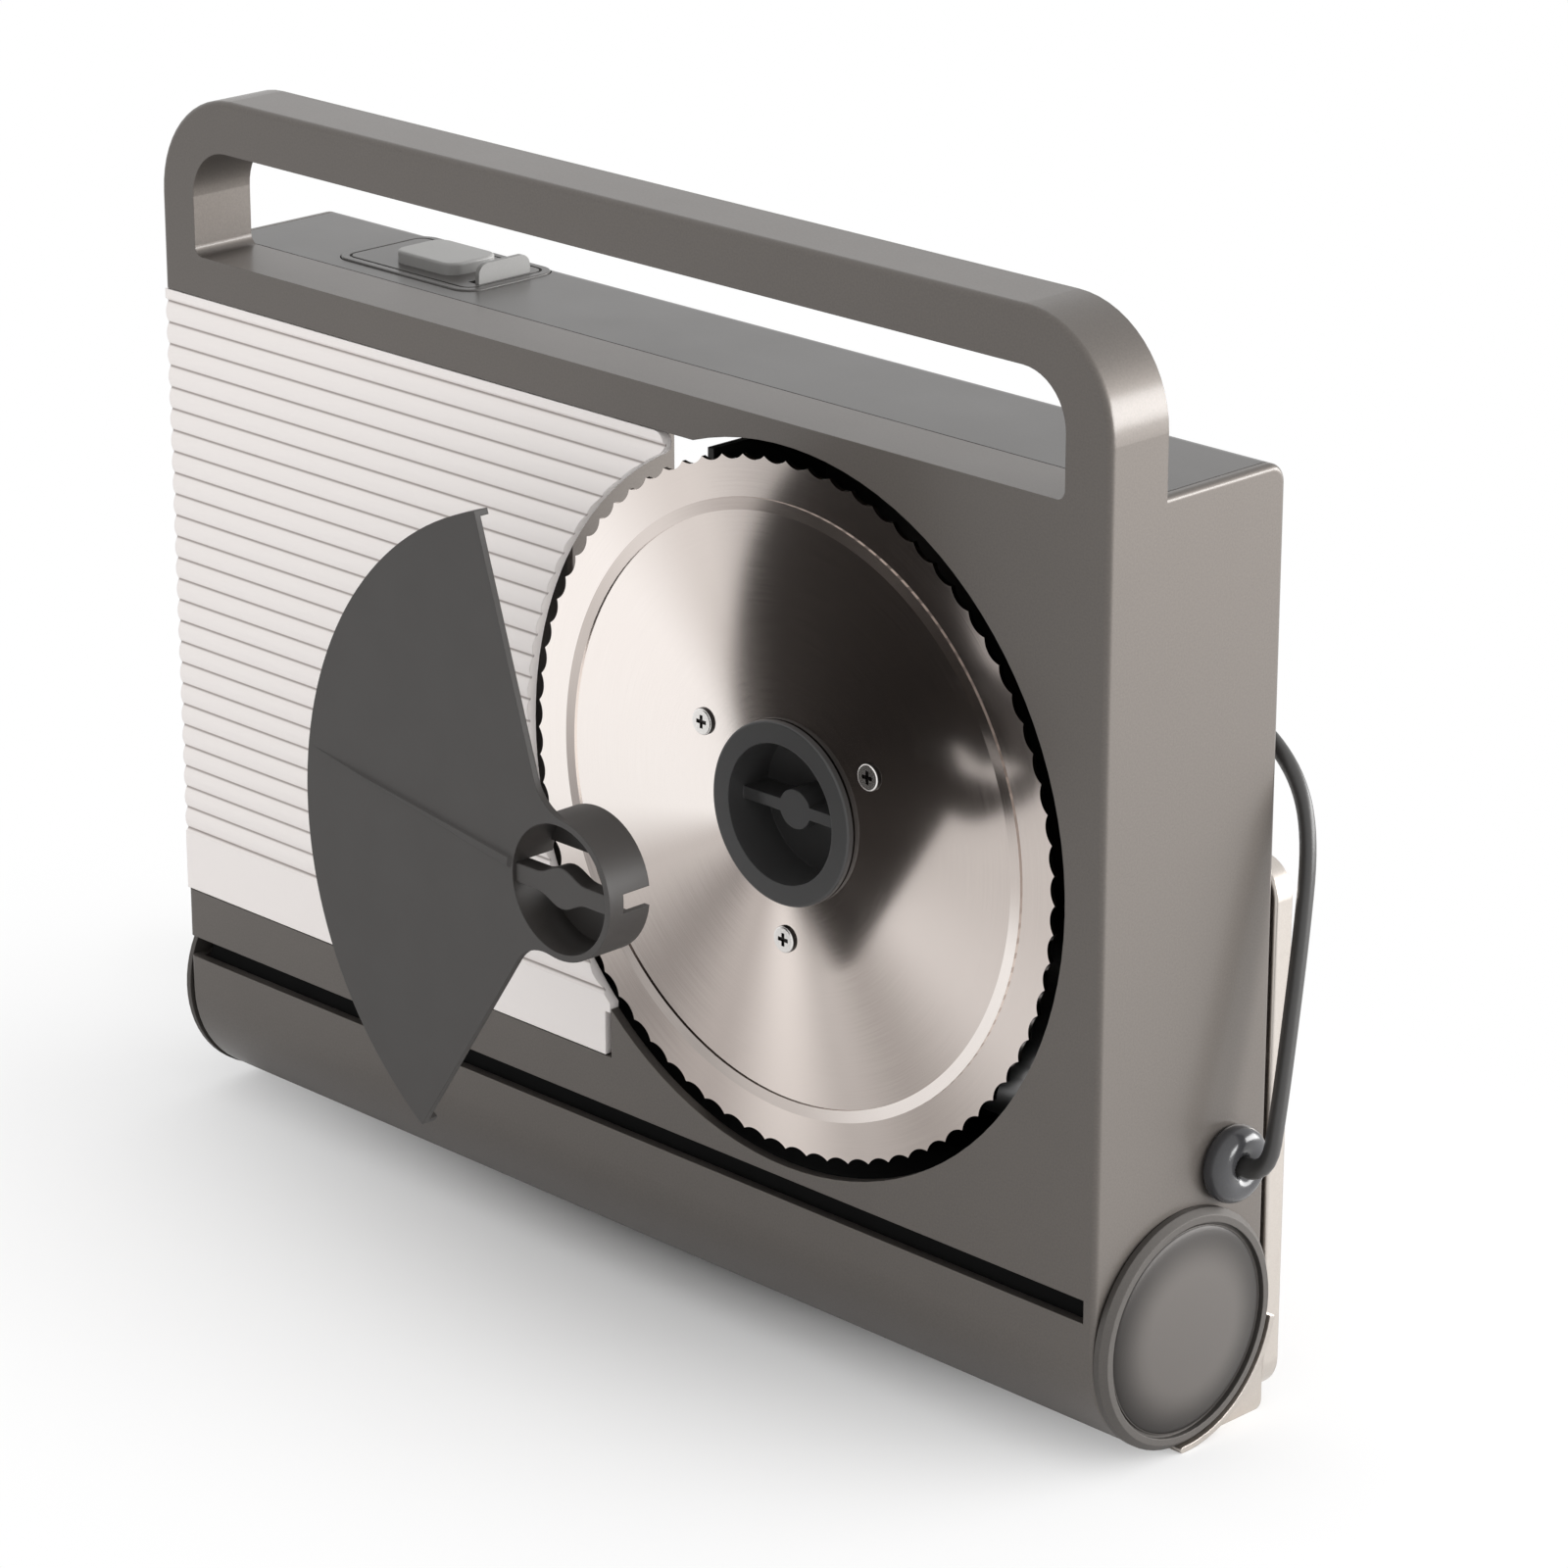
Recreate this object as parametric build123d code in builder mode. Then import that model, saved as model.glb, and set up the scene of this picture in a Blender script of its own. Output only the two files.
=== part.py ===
"""Electric folding food slicer, folded and standing on its hinge, with its blade guard taken off.

X runs from left to right along the front, Y from the front to the back and Z up. The origin is in the
middle of the slicer's box, on the surface that it stands on. All sizes are in millimetres.
"""
import math
import os

from build123d import *

# Body
body_width = 323
body_depth = 58
box_height = 230.5
arch_rise = 41.5
arch_depth = 18.3
skin = 2.5
corner_radius = 5
edge_round = 1.5
seam = 0.3
seat = 0.1
overrun = 20
sill_height = 52
ledge = 3

# Hinge at the bottom of the body, and the base that swings on it
barrel_radius = 29
cradle_gap = 0.4
cradle_skin = 1.5
core_start = 6
drum_wall = 2.5
drum_gap = 0.3
trunnion_radius = 10
trunnion_bore = 7
trunnion_fit = 0.05
disc_proud = 3
disc_ring = 3.2
disc_groove = 0.8
dome_rise = 1.4
base_length = 134
base_thickness = 5.5
base_skin = 2
base_gap = 1.3
base_corner = 9
foot_radius = 8
foot_proud = 3
foot_inset = 18

# Handle arch and front openings
arch_bar = 13.4
arch_left_post = 12.7
arch_right_post = 13.4
arch_round = 27
hole_round = 13
hole_foot_round = 2.5
bar_drop = 10.5
plate_bottom = 57.3
plate_inset = 61.5
plate_jog = 1.8
slot_top = 43.9
slot_bottom = 38.1
slot_end = 3.3
opening_radius = 89

# Blade and what turns with it
blade_inset = 100.2
blade_z = 136
blade_radius = 85
blade_front = 1
blade_thickness = 1.2
tooth_count = 76
tooth_depth = 1.3
bead_radius = 73.4
bead_width = 3
bead_rise = 0.4
blade_bore = 19.4
screw_circle = 31.5
screw_radius = 1.7
screw_length = 5
screw_head = 3.3
screw_head_rise = 0.9
cross_width = 1
cross_depth = 0.5
gear_flange_radius = 38
gear_flange = 4.5
gear_neck_radius = 25
gear_width = 6
gear_teeth = 40
gear_module = 1.9
bush_radius = 8
axle_radius = 6
axle_neck_radius = 4
running_fit = 0.05

# Blade lock in the middle of the blade
lock_flange_radius = 22.4
lock_recess_radius = 17.1
lock_wall = 1.7
lock_floor = 1.8
lock_flange = 1.7
lock_bar = 3
lock_bar_front = 4
lock_floor_front = 12
grip_length = 10
grip_height = 9.6
clip_radius = 9
clip_thickness = 0.9

# Blade guard, shown lifted off along the blade's axis
guard_reach = 70.5
guard_radius = 86.9
guard_skin = 1.6
guard_lip = 4
guard_lip_skin = 1.5
guard_top_angle = 107.5
guard_bottom_angle = 236
guard_crease_angle = 171.2
guard_crease_rise = 0.7
guard_crease_width = 3
guard_ring_radius = 16.9
guard_ring_skin = 1.6
guard_ring_length = 12.2
guard_notch = 4.6
guard_notch_length = 8
guard_bar = 2
guard_bar_front = 1
guard_bar_depth = 4
guard_blend = 11

# Ribbed stop plate and the parts that set how far back it stands
plate_thickness = 2.8
rib_pitch = 5.7
rib_depth = 0.9
rib_count = 25
rib_drop = 3.3
plate_edge_radius = 88.2
plate_corner = 3
plate_travel = 15
carrier_skin = 3
carrier_bar = 12
rod_radius = 4
guide_length = 30
guide_wall = 3
guide_fit = 0.06
rod_low_inset = 30
rod_low_z = 88
rod_high_inset = 53.3
rod_high_drop = 25
spindle_place = (45, 196)
spindle_radius = 4
spindle_collar = 7
spindle_collar_length = 1.4
nut_radius = 7
nut_length = 23
dial_radius = 18
dial_proud = 12.5
dial_gap = 0.4
dial_flutes = 14
flute_radius = 2.2
dial_pointer = 1.6

# Switch in the top cover
switch_x = 63.1
switch_y = 39.2
switch_length = 52
switch_width = 31.2
switch_round = 6
bezel_rise = 0.4
bezel_flange = 2
bezel_flange_skin = 1.5
bezel_groove = 0.7
bezel_rim = 2.4
cup_inset = 4
cup_wall = 1.5
cup_depth = 16
button_x = 63.8
button_y = 38.9
button_length = 22.5
button_width = 16.5
button_round = 4
button_rise = 3.5
button_crown = 0.7
button_travel = 2.5
button_sole = 1.5
slide_gap = 0.05
tab_x = 84.6
tab_length = 17
tab_thickness = 1.3
tab_rise = 5.4
tab_round = 3
tab_travel = 2.5
tab_sole = 5
tab_sole_skin = 1.5
microswitch_width = 6.4
microswitch_length = 20
microswitch_height = 8
spring_radius = 3.6
spring_wire = 0.7

# Motor, worm shaft and frame
mesh_y = 30.5
worm_radius = 3.9
worm_reach = 14.8
worm_length = 30
shaft_overhang = 10
shaft_radius = 3
motor_radius = 24.5
motor_inset = 63
motor_length = 50
motor_skin = 1.6
magnet_length = 28
armature_radius = 17
armature_length = 26
fan_radius = 17
fan_hub = 7
fan_skin = 1.2
fan_length = 6
fan_blades = 9
bearing_radius = 6
bearing_length = 5
bracket_skin = 3
motor_screw_circle = 16
motor_screw_radius = 1.4
web_y = 45
web_skin = 3
wall_skin = 2
wall_front = 8
wall_radius = 45
gear_room = 9
axle_boss = 12
lug_radius = 4.5

# Rear cover and its fittings
throat_inset = 32.8
throat_width = 64
throat_bottom = 62
throat_top = 216
throat_round = 6
throat_wall_depth = 32
boss_radius = 4.5
boss_low = 86
cover_screw_radius = 1.6
cover_screw_head = 3.1
cover_screw_rise = 0.9
cover_screw_length = 9
catch_inset = 12
catch_width = 7
catch_reach = 4.6
catch_travel = 4
hook_left_x = 27
hook_right_inset = 30
hook_width = 12
hook_skin = 4
hook_reach = 12.5
hook_lip = 3
hook_lip_rise = 6
hook_top = 165

# Mains cord
cord_width = 5
cord_gap = 1.35
gland_y = 45
gland_z = 65.5
gland_ring = 5.6
gland_roll = 3.8
gland_neck = 5.2
gland_lip = 7.2
gland_seat = 2
gland_depth = 9
coil_x = -45
coil_y = 96
coil_radius = 36
half_turns_in = 5
half_turns_out = 4
coil_lead = 6
coil_tail = 18
tie_width = 8
tie_skin = 0.6
tie_gap = 0.5
plug_length = 26
plug_width = 35
plug_relief = 20
plug_round = 8
pin_radius = 2.4
pin_length = 19
pin_spacing = 19

# Places that follow from the sizes above
arch_height = box_height + arch_rise
blade_x = body_width - blade_inset
plate_right = blade_x - plate_inset
worm_start = blade_x - worm_reach
worm_end = worm_start + worm_length
shaft_start = worm_start - shaft_overhang
motor_start = body_width - motor_inset
throat_right = blade_x - throat_inset
throat_left = throat_right - throat_width
catch_x = body_width - catch_inset
hook_right_x = body_width - hook_right_inset
bar_bottom = box_height - bar_drop
rod_low = (rod_low_inset, rod_low_z)
rod_high = (plate_right - rod_high_inset, bar_bottom - rod_high_drop)
lift = cradle_gap + cradle_skin
left_x = -body_width / 2
front_y = (guard_reach - body_depth - dial_proud) / 2
drum_radius = barrel_radius - skin - drum_gap
blade_back = blade_front + blade_thickness
gear_front = mesh_y - gear_width / 2
gear_back = mesh_y + gear_width / 2
hub_back = web_y - gear_width - clip_thickness * 2
rear_inside = body_depth - skin
top_inside = box_height - skin
plate_top = bar_bottom - seam
rib_top = plate_top - rib_drop
plate_room = plate_thickness + plate_travel
plate_tip = blade_x - math.sqrt(plate_edge_radius**2 - (plate_top - blade_z) ** 2) + seam
rod_front = plate_room + seam * 2
base_front = body_depth + base_gap
cradle_inner = barrel_radius + cradle_gap
cradle_outer = cradle_inner + cradle_skin
cord_radius = cord_width / 2
rod_places = [rod_low, rod_high]

os.makedirs("parts", exist_ok=True)


def front(depth=0.0):
    """A plane that faces the viewer, this far behind the front face. Its y runs up."""
    return Plane(origin=(left_x, front_y + depth, lift), x_dir=(1, 0, 0), z_dir=(0, -1, 0))


def side(x=0.0):
    """A plane that faces right, this far from the left side. Its x runs back and its y runs up."""
    return Plane(origin=(left_x + x, front_y, lift), x_dir=(0, 1, 0), z_dir=(1, 0, 0))


def level(z=0.0):
    """A level plane, this far above the bottom of the hinge barrel."""
    return Plane(origin=(left_x, front_y, lift + z))


def polar(radius, degrees):
    """A point at this radius and angle round the blade's axis, on a front plane."""
    turn = math.radians(degrees)
    return (blade_x + radius * math.cos(turn), blade_z + radius * math.sin(turn))


def around(radius, degrees):
    """A point at this radius and angle round the hinge's axis, on a side plane."""
    turn = math.radians(degrees)
    return (barrel_radius + radius * math.cos(turn), barrel_radius + radius * math.sin(turn))


def place(x, y, z):
    """A point of the row's frame, from its distances to the left side, the front and the barrel."""
    return Vector(left_x + x, front_y + y, lift + z)


def keep(piece, name):
    """Label a finished piece and write its file."""
    piece.part.label = name
    export_step(piece.part, f"parts/{name}.step")


# Housing: front wall, both sides, barrel skin and carrying handle in one moulding
boss_inset = skin + boss_radius * 0.8
boss_top = top_inside - boss_radius * 3
boss_places = [
    (boss_inset, boss_low),
    (boss_inset, boss_top),
    (body_width - boss_inset, boss_low),
    (body_width - boss_inset, boss_top),
]
hole_width = body_width - arch_left_post - arch_right_post
hole_height = arch_height - arch_bar - box_height

with BuildPart() as housing:
    with BuildSketch(side()):
        with Locations((0, barrel_radius)):
            Rectangle(body_depth, box_height - barrel_radius, align=(Align.MIN, Align.MIN))
        fillet(vertices().group_by(Axis.Y)[-1].sort_by(Axis.X)[-1], corner_radius)
        with Locations((barrel_radius, barrel_radius)):
            Circle(barrel_radius)
    extrude(amount=body_width)
    with BuildSketch(side(skin)):
        with Locations((barrel_radius, barrel_radius)):
            Circle(barrel_radius - skin)
        with Locations((skin, barrel_radius)):
            Rectangle(body_depth - 2 * skin, sill_height - barrel_radius, align=(Align.MIN, Align.MIN))
        with Locations((skin, sill_height)):
            Rectangle(body_depth + overrun, top_inside - sill_height, align=(Align.MIN, Align.MIN))
        with Locations((arch_depth, sill_height)):
            Rectangle(body_depth + overrun, box_height, align=(Align.MIN, Align.MIN))
    extrude(amount=body_width - 2 * skin, mode=Mode.SUBTRACT)
    # The carrying arch stands on the front wall
    with BuildSketch(front()):
        with Locations((0, bar_bottom)):
            Rectangle(body_width, arch_height - bar_bottom, align=(Align.MIN, Align.MIN))
        fillet(vertices().group_by(Axis.Y)[-1], arch_round)
    extrude(amount=-arch_depth)
    fillet(edges().group_by(Axis.Z)[-1].sort_by(Axis.Y)[0], edge_round)
    with BuildSketch(front(skin)):
        with Locations((skin, bar_bottom - seam)):
            Rectangle(body_width - 2 * skin, top_inside - bar_bottom, align=(Align.MIN, Align.MIN))
    extrude(amount=-(arch_depth - 2 * skin), mode=Mode.SUBTRACT)
    with BuildSketch(front(-overrun)):
        with Locations((arch_left_post, box_height)):
            Rectangle(hole_width, hole_height, align=(Align.MIN, Align.MIN))
        fillet(vertices().group_by(Axis.Y)[-1], hole_round)
        fillet(vertices().group_by(Axis.Y)[0], hole_foot_round)
    extrude(amount=-(arch_depth + 2 * overrun), mode=Mode.SUBTRACT)
    # Front wall: room for the stop plate and the blade
    with BuildSketch(front(-overrun)):
        with Locations((-overrun, plate_bottom - seam)):
            Rectangle(
                overrun + plate_right + plate_jog + seam,
                bar_bottom - plate_bottom + seam,
                align=(Align.MIN, Align.MIN),
            )
        with Locations((0, blade_z)):
            Rectangle(plate_tip, bar_bottom - blade_z, align=(Align.MIN, Align.MIN))
        with Locations((blade_x, blade_z)):
            Circle(opening_radius)
    extrude(amount=-(overrun + skin + seam), mode=Mode.SUBTRACT)
    # The blade's opening and the plate's way back also go through the arch's foot
    with BuildSketch(front(skin)):
        with Locations((blade_x, blade_z)):
            Circle(opening_radius)
        with Locations((skin + seam, plate_bottom - seam)):
            Rectangle(plate_tip, bar_bottom - plate_bottom + seam, align=(Align.MIN, Align.MIN))
    extrude(amount=-(plate_room + carrier_skin), mode=Mode.SUBTRACT)
    # The plate reaches past the left wall
    with BuildSketch(side(-overrun)):
        with Locations((-overrun, plate_bottom - seam)):
            Rectangle(
                overrun + plate_room + seam,
                bar_bottom - plate_bottom + seam,
                align=(Align.MIN, Align.MIN),
            )
    extrude(amount=overrun + skin + seam, mode=Mode.SUBTRACT)
    # Carriage slot across the front, open at the left end
    with BuildSketch(front(-overrun)):
        with Locations((-overrun, slot_bottom)):
            Rectangle(
                overrun + body_width - slot_end,
                slot_top - slot_bottom,
                align=(Align.MIN, Align.MIN),
            )
    extrude(amount=-(overrun + skin * 3), mode=Mode.SUBTRACT)
    # Bearing holes for the hinge, and the hole for the cord gland
    with BuildSketch(side(-overrun)):
        with Locations((barrel_radius, barrel_radius)):
            Circle(trunnion_radius + trunnion_fit)
    extrude(amount=body_width + 2 * overrun, mode=Mode.SUBTRACT)
    with BuildSketch(side(body_width - 2 * skin)):
        with Locations((gland_y, gland_z)):
            Circle(gland_neck)
    extrude(amount=overrun, mode=Mode.SUBTRACT)
    # Ledges that carry the top cover
    with BuildSketch(level(top_inside)):
        with Locations((skin, arch_depth)):
            Rectangle(ledge, rear_inside - arch_depth - seam, align=(Align.MIN, Align.MIN))
        with Locations((body_width - skin, arch_depth)):
            Rectangle(ledge, rear_inside - arch_depth - seam, align=(Align.MAX, Align.MIN))
    extrude(amount=-skin)
    # Screw bosses for the rear cover
    with BuildSketch(front(rear_inside)):
        with Locations(*boss_places):
            Circle(boss_radius)
    extrude(amount=cover_screw_length + boss_radius)
    with BuildSketch(front(body_depth)):
        with Locations(*boss_places):
            Circle(cover_screw_radius)
    extrude(amount=skin + cover_screw_length, mode=Mode.SUBTRACT)
keep(housing, "housing")

# Top cover behind the arch, turned down over the rear edge
cover_width = body_width - 2 * skin - 2 * seam
cover_left = skin + seam
with BuildPart() as top_cover:
    with BuildSketch(side(cover_left)):
        with Locations((body_depth, box_height)):
            Rectangle(
                body_depth - arch_depth - seam,
                box_height - bar_bottom,
                align=(Align.MAX, Align.MAX),
            )
        fillet(vertices().group_by(Axis.Y)[-1].sort_by(Axis.X)[-1], corner_radius)
        with Locations((rear_inside, top_inside)):
            Rectangle(overrun * 2, overrun, align=(Align.MAX, Align.MAX), mode=Mode.SUBTRACT)
    extrude(amount=cover_width)
    with BuildSketch(level(box_height + overrun)):
        with Locations((switch_x, switch_y)):
            RectangleRounded(switch_length, switch_width, switch_round)
    extrude(amount=-(overrun * 2), mode=Mode.SUBTRACT)
keep(top_cover, "top_cover")

# Rear cover with the slice outlet
outlet_width = throat_right - throat_left
outlet_height = throat_top - throat_bottom
lug_places = [
    (throat_right + gear_room * 2, throat_bottom + lug_radius * 2),
    (throat_right + gear_room * 2, throat_top - lug_radius * 2),
    (blade_x + wall_radius + gear_room * 2, throat_top - lug_radius * 2),
    (catch_x - gear_room * 1.6, blade_z - gear_room),
]
catch_bottom = base_length + seam
with BuildPart() as rear_cover:
    with BuildSketch(front(body_depth)):
        with Locations((cover_left, sill_height + seam)):
            Rectangle(
                cover_width,
                bar_bottom - sill_height - 2 * seam,
                align=(Align.MIN, Align.MIN),
            )
        with Locations((throat_left + outlet_width / 2, throat_bottom + outlet_height / 2)):
            RectangleRounded(outlet_width, outlet_height, throat_round, mode=Mode.SUBTRACT)
        with Locations(*boss_places, *lug_places):
            Circle(cover_screw_radius, mode=Mode.SUBTRACT)
        with Locations(spindle_place):
            Circle(spindle_radius + running_fit, mode=Mode.SUBTRACT)
        with Locations(*rod_places):
            Circle(rod_radius, mode=Mode.SUBTRACT)
        with Locations((catch_x, catch_bottom + (catch_width + catch_travel) / 2)):
            SlotOverall(
                catch_width + catch_travel + 2 * running_fit,
                catch_width + 2 * running_fit,
                rotation=90,
                mode=Mode.SUBTRACT,
            )
    extrude(amount=skin)
    # Wall beside the outlet, which keeps slices out of the plate's guides
    with BuildSketch(front(rear_inside)):
        with Locations((throat_left, throat_bottom)):
            Rectangle(wall_skin, outlet_height, align=(Align.MAX, Align.MIN))
    extrude(amount=throat_wall_depth)
    # Sockets for the guide rods
    with BuildSketch(front(rear_inside)):
        with Locations(*rod_places):
            Circle(rod_radius + guide_wall)
            Circle(rod_radius, mode=Mode.SUBTRACT)
    extrude(amount=rod_radius)
keep(rear_cover, "rear_cover")

# Guide rods, fixed in the rear cover
with BuildPart() as guide_rods:
    with BuildSketch(front(body_depth)):
        with Locations(*rod_places):
            Circle(rod_radius)
    extrude(amount=body_depth - rod_front)
keep(guide_rods, "guide_rods")

# Screws that hold the rear cover and the frame
with BuildPart() as cover_screws:
    with BuildSketch(front(body_depth)):
        with Locations(*boss_places, *lug_places):
            Circle(cover_screw_radius)
    extrude(amount=skin + cover_screw_length)
    with BuildSketch(front(body_depth)):
        with Locations(*boss_places, *lug_places):
            Circle(cover_screw_head)
    extrude(amount=-cover_screw_rise)
keep(cover_screws, "cover_screws")

# Cord hooks on the rear cover
with BuildPart() as cord_hooks:
    for hook_x in (hook_left_x, hook_right_x):
        with BuildSketch(side(hook_x - hook_width / 2)):
            with Locations((body_depth, hook_top)):
                Rectangle(hook_reach, hook_skin, align=(Align.MIN, Align.MAX))
            with Locations((body_depth + hook_reach, hook_top - hook_skin)):
                Rectangle(hook_lip, hook_skin + hook_lip_rise, align=(Align.MAX, Align.MIN))
            fillet(vertices().sort_by(Axis.X)[-2:], hook_lip / 3)
        extrude(amount=hook_width)
keep(cord_hooks, "cord_hooks")

# Stop plate: arched ribs between sharp valleys, and a concave edge round the blade
rib_foot = rib_top - rib_count * rib_pitch
with BuildPart() as stop_plate:
    with BuildSketch(side()):
        with BuildLine():
            for k in range(rib_count):
                high = rib_top - k * rib_pitch
                ThreePointArc(
                    (rib_depth, high),
                    (0, high - rib_pitch / 2),
                    (rib_depth, high - rib_pitch),
                )
            Polyline(
                (rib_depth, rib_foot),
                (0, rib_foot - rib_depth),
                (0, plate_bottom),
                (plate_thickness, plate_bottom),
                (plate_thickness, plate_top),
                (0, plate_top),
                (0, rib_top + rib_depth),
                (rib_depth, rib_top),
            )
        make_face()
    extrude(amount=blade_x)
    with BuildSketch(front(-overrun)):
        with Locations((0, plate_bottom)):
            Rectangle(plate_right, plate_top - plate_bottom, align=(Align.MIN, Align.MIN))
        with Locations((0, plate_bottom + rib_pitch * 2)):
            Rectangle(plate_right + plate_jog, blade_z - plate_bottom, align=(Align.MIN, Align.MIN))
        with Locations((0, plate_top)):
            Rectangle(blade_x, plate_top - blade_z, align=(Align.MIN, Align.MAX))
        with Locations((blade_x, blade_z)):
            Circle(plate_edge_radius, mode=Mode.SUBTRACT)
        fillet(vertices().group_by(Axis.Y)[-1].sort_by(Axis.X)[-1], plate_corner)
    extrude(amount=-(overrun * 2), mode=Mode.INTERSECT)
keep(stop_plate, "stop_plate")

# Carrier behind the plate, with its two guides
low_x, low_z = rod_low
high_x, high_z = rod_high
nut_x, nut_z = spindle_place
with BuildPart() as plate_carrier:
    with BuildSketch(front(plate_thickness)):
        with Locations((low_x, low_z)):
            Rectangle(high_x - low_x, carrier_bar, align=(Align.MIN, Align.CENTER))
            Rectangle(carrier_bar, high_z - low_z, align=(Align.CENTER, Align.MIN))
        with Locations((high_x, high_z)):
            Rectangle(high_x - low_x, carrier_bar, align=(Align.MAX, Align.CENTER))
            Rectangle(carrier_bar, high_z - low_z, align=(Align.CENTER, Align.MAX))
        with Locations(*rod_places, (low_x, high_z), (high_x, low_z), spindle_place):
            Circle(nut_radius + guide_wall)
    extrude(amount=-carrier_skin)
    with BuildSketch(front(plate_thickness)):
        with Locations(*rod_places):
            Circle(rod_radius + guide_wall)
        with Locations(spindle_place):
            Circle(nut_radius + guide_wall / 2)
    extrude(amount=-nut_length)
    with BuildSketch(front(plate_thickness)):
        with Locations(*rod_places):
            Circle(rod_radius + guide_wall)
    extrude(amount=-guide_length)
    with BuildSketch(front(plate_thickness)):
        with Locations(*rod_places):
            Circle(rod_radius + guide_fit)
        with Locations(spindle_place):
            Circle(nut_radius)
    extrude(amount=-guide_length, mode=Mode.SUBTRACT)
keep(plate_carrier, "plate_carrier")

# Nut in the carrier, run back and forth by the dial's spindle
with BuildPart() as spindle_nut:
    with BuildSketch(front(plate_thickness)):
        with Locations(spindle_place):
            Circle(nut_radius)
            Circle(spindle_radius + guide_fit, mode=Mode.SUBTRACT)
    extrude(amount=-nut_length)
keep(spindle_nut, "spindle_nut")

# Spindle and thickness dial
dial_front = body_depth + dial_gap
with BuildPart() as thickness_spindle:
    with BuildSketch(front(rod_front)):
        with Locations(spindle_place):
            Circle(spindle_radius)
    extrude(amount=-(dial_front + dial_proud / 2 - rod_front))
    with BuildSketch(front(rear_inside - slide_gap)):
        with Locations(spindle_place):
            Circle(spindle_collar)
    extrude(amount=spindle_collar_length)
keep(thickness_spindle, "thickness_spindle")

with BuildPart() as thickness_dial:
    with BuildSketch(front(dial_front)):
        with Locations(spindle_place):
            Circle(dial_radius)
            with PolarLocations(dial_radius + flute_radius / 2, dial_flutes):
                Circle(flute_radius, mode=Mode.SUBTRACT)
    extrude(amount=-(dial_proud - dial_gap))
    fillet(edges().group_by(Axis.Y)[-1], dial_gap)
    with BuildSketch(front(dial_front + dial_proud - dial_gap)):
        with Locations((nut_x, nut_z + dial_radius / 2)):
            Rectangle(dial_pointer, dial_radius / 2)
    extrude(amount=dial_gap, mode=Mode.SUBTRACT)
    with BuildSketch(front(dial_front)):
        with Locations(spindle_place):
            Circle(spindle_radius)
    extrude(amount=-dial_proud / 2, mode=Mode.SUBTRACT)
keep(thickness_dial, "thickness_dial")

# Frame: web behind the gear, axle boss, outlet wall, shaft and motor brackets
bracket_x = motor_start - bracket_skin
frame_back = rear_inside
frame_right = catch_x - gear_room * 1.1
with BuildPart() as gearbox_frame:
    with BuildSketch(front(web_y)):
        with Locations((throat_right, throat_top)):
            Rectangle(
                frame_right - throat_right,
                throat_top - blade_z + gear_room * 2,
                align=(Align.MIN, Align.MAX),
            )
            Rectangle(motor_start - throat_right, outlet_height, align=(Align.MIN, Align.MAX))
    extrude(amount=-web_skin)
    # Wall of the slice outlet, swelling round the gear
    with BuildSketch(front(wall_front)):
        with Locations((throat_right, throat_bottom)):
            Rectangle(wall_skin, outlet_height, align=(Align.MIN, Align.MIN))
        with BuildSketch(mode=Mode.PRIVATE) as swell:
            with Locations((blade_x, blade_z)):
                Circle(wall_radius + wall_skin)
            with Locations((throat_right + wall_skin, blade_z)):
                Rectangle(
                    wall_radius * 3,
                    wall_radius * 3,
                    align=(Align.MIN, Align.CENTER),
                    mode=Mode.SUBTRACT,
                )
        add(swell.sketch)
        with Locations((blade_x, blade_z)):
            Circle(wall_radius, mode=Mode.SUBTRACT)
    extrude(amount=-(frame_back - wall_front))
    with BuildSketch(front(web_y + web_skin)):
        with Locations((blade_x, blade_z)):
            Circle(axle_boss)
    extrude(amount=web_y + web_skin - hub_back - seat)
    with BuildSketch(front(web_y + web_skin)):
        with Locations((blade_x, blade_z)):
            Circle(axle_radius)
    extrude(amount=web_y, mode=Mode.SUBTRACT)
    # Lugs to the rear cover
    with BuildSketch(front(web_y)):
        with Locations(*lug_places):
            Circle(lug_radius)
    extrude(amount=-(frame_back - web_y))
    with BuildSketch(front(frame_back)):
        with Locations(*lug_places):
            Circle(cover_screw_radius)
    extrude(amount=cover_screw_length + skin, mode=Mode.SUBTRACT)
    # Brackets for the shaft's far end and for the motor
    shaft_z = blade_z - gear_module * gear_teeth / 2 - worm_radius - gear_module - seat * 2
    with BuildSketch(side(shaft_start + seat)):
        with Locations((web_y, shaft_z)):
            Rectangle(
                web_y - mesh_y + bearing_radius * 1.5,
                bearing_radius * 3,
                align=(Align.MAX, Align.CENTER),
            )
    extrude(amount=bearing_length)
    with BuildSketch(side(bracket_x)):
        with Locations((web_y + web_skin, shaft_z)):
            Rectangle(web_y - wall_front, motor_screw_circle * 2.4, align=(Align.MAX, Align.CENTER))
    extrude(amount=bracket_skin)
    with BuildSketch(side(shaft_start)):
        with Locations((mesh_y, shaft_z)):
            Circle(bearing_radius)
    extrude(amount=overrun * 4, mode=Mode.SUBTRACT)
    with BuildSketch(side(bracket_x)):
        with Locations((mesh_y, shaft_z + motor_screw_circle), (mesh_y, shaft_z - motor_screw_circle)):
            Circle(motor_screw_radius)
    extrude(amount=bracket_skin, mode=Mode.SUBTRACT)
keep(gearbox_frame, "gearbox_frame")

# Axle, fixed in the frame, and the ring that keeps the gear on it
with BuildPart() as axle:
    with BuildSketch(front(web_y + web_skin)):
        with Locations((blade_x, blade_z)):
            Circle(axle_radius)
    extrude(amount=web_y + web_skin - lock_floor_front - lock_floor - seat)
    with BuildSketch(front(web_y)):
        with Locations((blade_x, blade_z)):
            Circle(axle_neck_radius)
    extrude(amount=web_y - lock_bar_front - blade_front)
keep(axle, "axle")

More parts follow.
